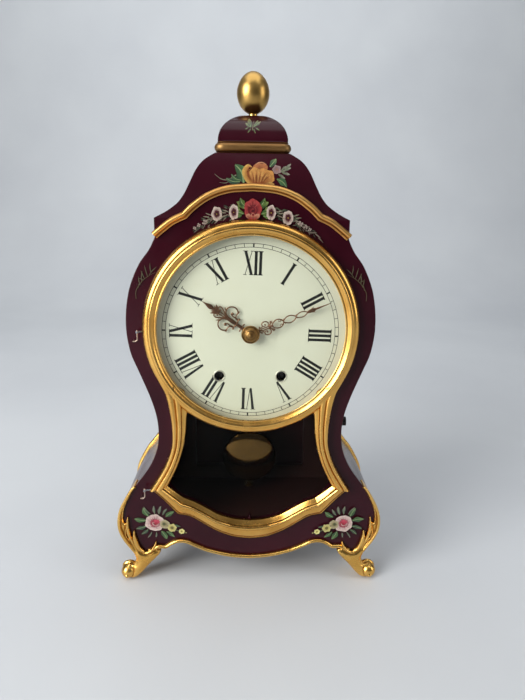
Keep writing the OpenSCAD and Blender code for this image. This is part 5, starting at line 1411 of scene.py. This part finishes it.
# front board: garland over the bezel, sprigs at its sides and a spray above each leg
b = Brush(lambda x, z: 0.0)
for s in (-1, 1):
    # dark foliage that tapers away over the bezel, brushed outwards along it
    end = 31.5 if s > 0 else 28.5
    for i in range(64):
        t = i / 63
        th = math.radians(6.5 + (end - 6.5) * t)
        wide = 4.6 * (1 - t) ** 0.7 + 0.4
        rr = 88.6 - 3.8 * t + R.uniform(-wide, wide)
        x0, z0 = rr * math.sin(th), DZ + rr * math.cos(th)
        dg = -math.degrees(th) + R.choice((-1, 1)) * R.uniform(8, 42)
        tone = R.choice(((40, 52, 36), (52, 66, 46), (72, 84, 60), (98, 98, 76), (132, 118, 104)) if t < 0.75 else ((52, 60, 44), (88, 84, 68), (128, 112, 102)))
        a = math.radians(dg)
        L = R.uniform(3.2, 5.6) * (1 - 0.35 * t)
        b.stroke([(s * x0, z0), (s * (x0 + 0.5 * L * math.cos(a)), z0 + 0.5 * L * math.sin(a) + 0.25), (s * (x0 + L * math.cos(a)), z0 + L * math.sin(a))], (0.35, 1.15 - 0.4 * t, 0.12), tone, tuple(int(c_ * 0.7) for c_ in tone), n=3, m=3)
    LF1, LF2, LF3 = (84, 106, 44), (42, 68, 32), (122, 134, 72)
    b.leaf(s * 5.4, 309.4, 90 - s * 52, 7.6, 4.6, LF1, LF2, LF3, 0.2 * s)
    b.leaf(s * 6.2, 306.0, 90 - s * 74, 7.0, 4.2, (56, 86, 40), LF1, (48, 72, 36))
    b.leaf(s * 5.4, 311.2, 90 - s * 30, 6.6, 4.0, LF2, LF1, None, -0.2 * s)
    b.leaf(s * 7.8, 304.6, 90 - s * 98, 5.6, 3.0, (50, 78, 40), (84, 110, 50), None)
    b.leaf(s * 9.0, 308.6, 90 - s * 60, 4.4, 3.0, LF3, LF1, None)
    zz = 305.6 if s < 0 else 303.6
    b.squeeze = (s * 13.4, 307.0, 0.74, 1.16)
    b.pansy(s * 13.4, 307.0, 4.5, s * -12, (98, 64, 66), (206, 188, 176), (46, 6, 16))
    b.squeeze = (s * 25.6, zz, 0.84, 1.1)
    b.pansy(s * 25.6, zz, 4.5, s * -24, (96, 66, 64), (202, 184, 172), (42, 6, 14))
    b.squeeze = None
    for x0, z0, dg in ((17.4, 307.4, 14), (17.8, 305.2, -22), (18.8, 306.4, 4), (20.4, 304.4, -30), (29.6, 304.6, 20), (30.4, 302.0, -20), (31.6, 300.6, -44), (31.2, 303.4, 4)):
        a = math.radians(dg)
        b.stroke([(s * x0, z0), (s * (x0 + 2.2 * math.cos(a)), z0 + 2.2 * math.sin(a)), (s * (x0 + 4.2 * math.cos(a)), z0 + 4.2 * math.sin(a))], (0.3, 0.9, 0.15), (150, 138, 120), (110, 104, 86), n=3, m=3)
    for x0, z0, r_ in ((34.6, 299.6, 1.9), (38.6, 297.4, 1.5), (41.6, 295.6, 1.3)):
        for dg in (20, 110, 200, 300):
            b.petal(s * x0, z0, dg + R.uniform(-20, 20), r_ * R.uniform(0.8, 1.15), r_ * 0.7, (120, 106, 98), (176, 160, 150))
    if s > 0:
        b.stroke([(45.4, 292.8), (47.4, 291.4), (49.6, 289.6)], (0.3, 1.0, 0.2), (140, 124, 112), (100, 94, 78), n=3, m=3)
        b.stroke([(47.8, 290.0), (49.6, 288.6), (51.6, 286.4)], (0.2, 0.8, 0.2), (120, 106, 92), (84, 80, 64), n=3, m=3)
    # thin sprigs at the bezel's sides
    for x0, z0, dg, L in ((75.6, 261.4, 128, 8.5), (74.4, 263.4, 84, 7.5), (76.8, 260.4, 74, 9), (79.0, 258.4, 66, 7.5), (81.4, 256.4, 92, 8.5), (82.6, 254.0, 78, 7), (84.2, 251.6, 104, 5), (79.8, 257.6, 24, 4.5)):
        a = math.radians(dg if s > 0 else 180 - dg)
        b.stroke([(s * x0, z0), (s * x0 + 0.5 * L * math.cos(a), z0 + 0.5 * L * math.sin(a)), (s * x0 + L * math.cos(a) - s * 0.5, z0 + L * math.sin(a) - 0.6)], (0.35, 0.7, 0.12), (90, 86, 60), (68, 64, 44), n=5, m=2)
    b.line([(s * 86.0, 243.6), (s * 85.6, 250.0), (s * 81.0, 256.8), (s * 75.6, 261.0), (s * 70.6, 263.4)], 0.5, (84, 76, 50))
    # spray above the leg
    rx, rz = s * 79.2, 54.6
    fl = lambda d_: d_ if s < 0 else 180 - d_
    for x0, z0, dg, L, wd, k in ((-84.5, 61.0, 118, 8.6, 4.6, 0), (-86.6, 57.0, 172, 9.6, 4.6, 0), (-86.4, 51.6, 196, 9.0, 3.8, 1), (-85.0, 48.4, 218, 7.4, 3.0, 1), (-74.0, 46.6, 300, 8.6, 4.6, 0), (-69.8, 46.2, 322, 8.4, 3.4, 0),
                                 (-70.0, 60.4, 34, 8.4, 4.2, 0), (-79.0, 63.0, 94, 7.6, 2.4, 2), (-75.6, 62.8, 76, 7.8, 2.6, 2), (-82.6, 62.8, 128, 8.8, 1.3, 2), (-72.6, 62.0, 58, 7.0, 2.0, 2), (-82.0, 46.2, 238, 6.8, 1.4, 2), (-78.2, 45.6, 262, 4.8, 1.6, 2),
                                 (-64.4, 52.0, 350, 6.6, 2.2, 1), (-60.6, 47.4, 330, 6.2, 1.6, 1)):
        c_ = (((60, 98, 46), (36, 66, 34), (96, 126, 76)), ((46, 68, 46), (30, 48, 34), (78, 94, 70)), ((92, 96, 82), (64, 72, 60), (136, 134, 120)))[k]
        b.leaf(-s * x0, z0, fl(dg), L, wd, *c_, 0.1)
    b.line([(s * 66, 50.4), (s * 60, 47.0), (s * 52.6, 44.8)], 0.5, (120, 122, 84))
    b.rose(rx, rz, 7.5, (150, 78, 88), (218, 196, 186), (160, 28, 52), (120, 12, 34), 12 if s < 0 else 38)
    for dg in range(6, 360, 24):
        a = math.radians(dg + R.uniform(-6, 6))
        b.stroke([(rx + 3.6 * math.cos(a), rz + 3.6 * math.sin(a)), (rx + 5.2 * math.cos(a), rz + 5.2 * math.sin(a)), (rx + 6.9 * math.cos(a), rz + 6.9 * math.sin(a))], (0.15, 0.55, 0.15), (232, 216, 206), (190, 132, 136), n=3, m=2)
    b.petal(rx - s * 0.6, rz - 1.6, 70, 5.0, 4.6, (150, 18, 44), (196, 66, 88))
    for dg in (20, 80, 150, 215, 285):
        b.petal(s * 71.0, 53.4, fl(dg), 4.2, 4.0, (128, 118, 72), (176, 164, 128))
    b.disc(s * 71.6, 53.6, 1.5, (52, 56, 30), (96, 96, 52), 10)
    b.daisy(s * 65.0, 50.0, 3.9, (176, 162, 76), (206, 196, 128), 8)
    b.disc(s * 65.0, 50.0, 1.5, (88, 78, 34), (120, 108, 50), 9)
    b.daisy(s * 57.0, 46.6, 2.5, (206, 194, 100), (228, 222, 150), 20)
    b.disc(s * 53.4, 45.4, 0.7, (170, 160, 90), (140, 132, 76), 8)
# the rose in the middle
b.squeeze = (0.2, 308.8, 0.98, 1.12)
b.rose(0.2, 308.8, 6.2, (94, 18, 24), (160, 56, 55), (100, 12, 24), (64, 4, 14), 25)
for dg in (40, 75, 105, 140):
    a = math.radians(dg)
    b.stroke([(0.2 + 2.2 * math.cos(a), 309.2 + 2.2 * math.sin(a)), (0.2 + 4 * math.cos(a), 309.2 + 4 * math.sin(a)), (0.2 + 5.6 * math.cos(a), 309.2 + 5.6 * math.sin(a))], (0.2, 0.7, 0.2), (186, 88, 80), (140, 42, 44), n=3, m=3)
b.squeeze = None
for x0, dg in ((-1.8, 118), (0.4, 90), (2.4, 64)):
    b.petal(x0, 302.2, dg, 4.4, 3.0, (122, 44, 36), (196, 136, 108))
b.disc(0.4, 305.4, 1.0, (70, 8, 18), (140, 36, 40), 9)
b.done("flowers_front")

# ------------------------------------------------------------------ finishes of the parts that keep their own shape
FINISH = {
    BACKD: ["back_door"],
    INNER: ["base_board", "back_frame", "movement_shelf"],
    PLATE: ["front_plate", "back_plate"],
    BRASS: ["pillars", "pendulum_cock", "time_barrel", "strike_barrel", "second_wheel", "centre_wheel", "third_wheel", "escape_wheel", "pin_wheel", "warning_wheel", "minute_wheel", "hour_wheel", "finial_stem",
            "back_hinge_case_leaves", "back_hinge_door_leaves", "turn_button"],
    SHADE_DARK_BRASS: ["pendulum_rod", "rating_nut"],
    STEEL: ["movement_screws", "pillar_nuts", "bell_stand", "cannon_pinion", "anchor", "suspension_spring", "fly", "hammer", "time_click", "strike_click"],
    BLUED: ["time_winding_arbor", "strike_winding_arbor", "silence_knob"],
    BELL: ["bell"],
    DIAL: ["dial"],
    PANE: ["pendulum_glass"],
}
for mat, names in FINISH.items():
    for n in names:
        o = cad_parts[n]
        o.data.materials.clear()
        o.data.materials.append(mat)
        for p in o.data.polygons:
            p.material_index = 0
for n in ("back_door", "base_board", "back_frame", "turn_button", "silence_knob", "back_hinge_case_leaves"):
    modify(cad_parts[n], "BEVEL", width=0.0003, segments=2, limit_method="ANGLE", angle_limit=math.radians(50))

# ------------------------------------------------------------------ stage, light, camera
floor = Geo()
rows = []
for t in np.linspace(0, 1, 33):
    if t < 0.5:
        y, z = -2500 + t * 2 * 3600, 0.0
    else:
        a = (t - 0.5) * 2 * PI / 2
        y, z = 1100 + 900 * math.sin(a), 900 * (1 - math.cos(a))
    rows.append([(x, y, z - 0.02) for x in np.linspace(-3500, 3500, 5)])
rows.append([(x, 2000, 3500) for x in np.linspace(-3500, 3500, 5)])
floor.grid(rows)
me = floor.mesh("floor")
fo = bpy.data.objects.new("floor", me)
bpy.context.scene.collection.objects.link(fo)
for p in me.polygons:
    p.use_smooth = True
fm = Mat("floor_pale")
fm.color(fm.ramp(fm.noise(3, 3), [(0.3, srgb(188, 192, 197)), (0.7, srgb(196, 200, 204))]))
fm.set(Roughness=0.6)
me.materials.append(fm.m)


def area(name, loc, target, sx, sy, energy, color=(1, 1, 1)):
    d_ = bpy.data.lights.new(name, "AREA")
    d_.shape = "RECTANGLE"
    d_.size, d_.size_y = sx, sy
    d_.energy = energy
    d_.color = color
    o = bpy.data.objects.new(name, d_)
    bpy.context.scene.collection.objects.link(o)
    o.location = loc
    o.rotation_euler = (Vector(target) - Vector(loc)).to_track_quat("-Z", "Y").to_euler()
    return o


area("window", (-1.2, -0.95, 0.75), (0, 0, 0.2), 0.9, 1.2, 38, (1.0, 0.985, 0.96))
area("top", (0.0, -0.1, 1.6), (0, 0.3, 0.2), 1.7, 1.2, 11, (1, 1, 1))
area("right", (1.35, -0.5, 0.6), (0, 0, 0.2), 0.6, 1.0, 5, (1.0, 0.97, 0.93))
area("wash", (0.0, 0.75, 1.7), (0, 2.0, 0.7), 2.4, 0.5, 15, (0.97, 0.99, 1.0))
world = bpy.data.worlds.new("studio")
bpy.context.scene.world = world
world.use_nodes = True
wt = world.node_tree
wt.nodes.clear()
wo = wt.nodes.new("ShaderNodeOutputWorld")
bg = wt.nodes.new("ShaderNodeBackground")
tc = wt.nodes.new("ShaderNodeTexCoord")
sp = wt.nodes.new("ShaderNodeSeparateXYZ")
rp_ = wt.nodes.new("ShaderNodeValToRGB")
mr = wt.nodes.new("ShaderNodeMapRange")
mr.inputs["From Min"].default_value = -1
mr.inputs["From Max"].default_value = 1
wt.links.new(tc.outputs["Generated"], sp.inputs[0])
wt.links.new(sp.outputs[2], mr.inputs["Value"])
wt.links.new(mr.outputs[0], rp_.inputs[0])
e = rp_.color_ramp.elements
e[0].position, e[0].color = 0.45, (0.10, 0.10, 0.11, 1)
e[1].position, e[1].color = 0.85, (0.5, 0.52, 0.55, 1)
wt.links.new(rp_.outputs[0], bg.inputs[0])
bg.inputs[1].default_value = 0.4
wt.links.new(bg.outputs[0], wo.inputs[0])

vs = bpy.context.scene.view_settings
vs.view_transform = "Standard"
vs.look = "None"
vs.exposure = 0.0
vs.gamma = 1.0

yaw, pitch, roll = 0.029, 0.260, 0.015
f = Vector((math.sin(yaw) * math.cos(pitch), math.cos(yaw) * math.cos(pitch), -math.sin(pitch)))
r0 = Vector((math.cos(yaw), -math.sin(yaw), 0))
u0 = r0.cross(f)
r_ = r0 * math.cos(roll) + u0 * math.sin(roll)
u_ = -r0 * math.sin(roll) + u0 * math.cos(roll)
cam = bpy.data.cameras.new("camera")
cam.lens = 526 / 700 * 36
cam.sensor_width = 36
cam.sensor_fit = "AUTO"
cam.clip_start, cam.clip_end = 0.02, 30
co = bpy.data.objects.new("camera", cam)
bpy.context.scene.collection.objects.link(co)
mw = Matrix((r_, u_, -f)).transposed().to_4x4()
mw.translation = Vector((-0.002645, -0.430835, 0.308772))
co.matrix_world = mw
bpy.context.scene.camera = co
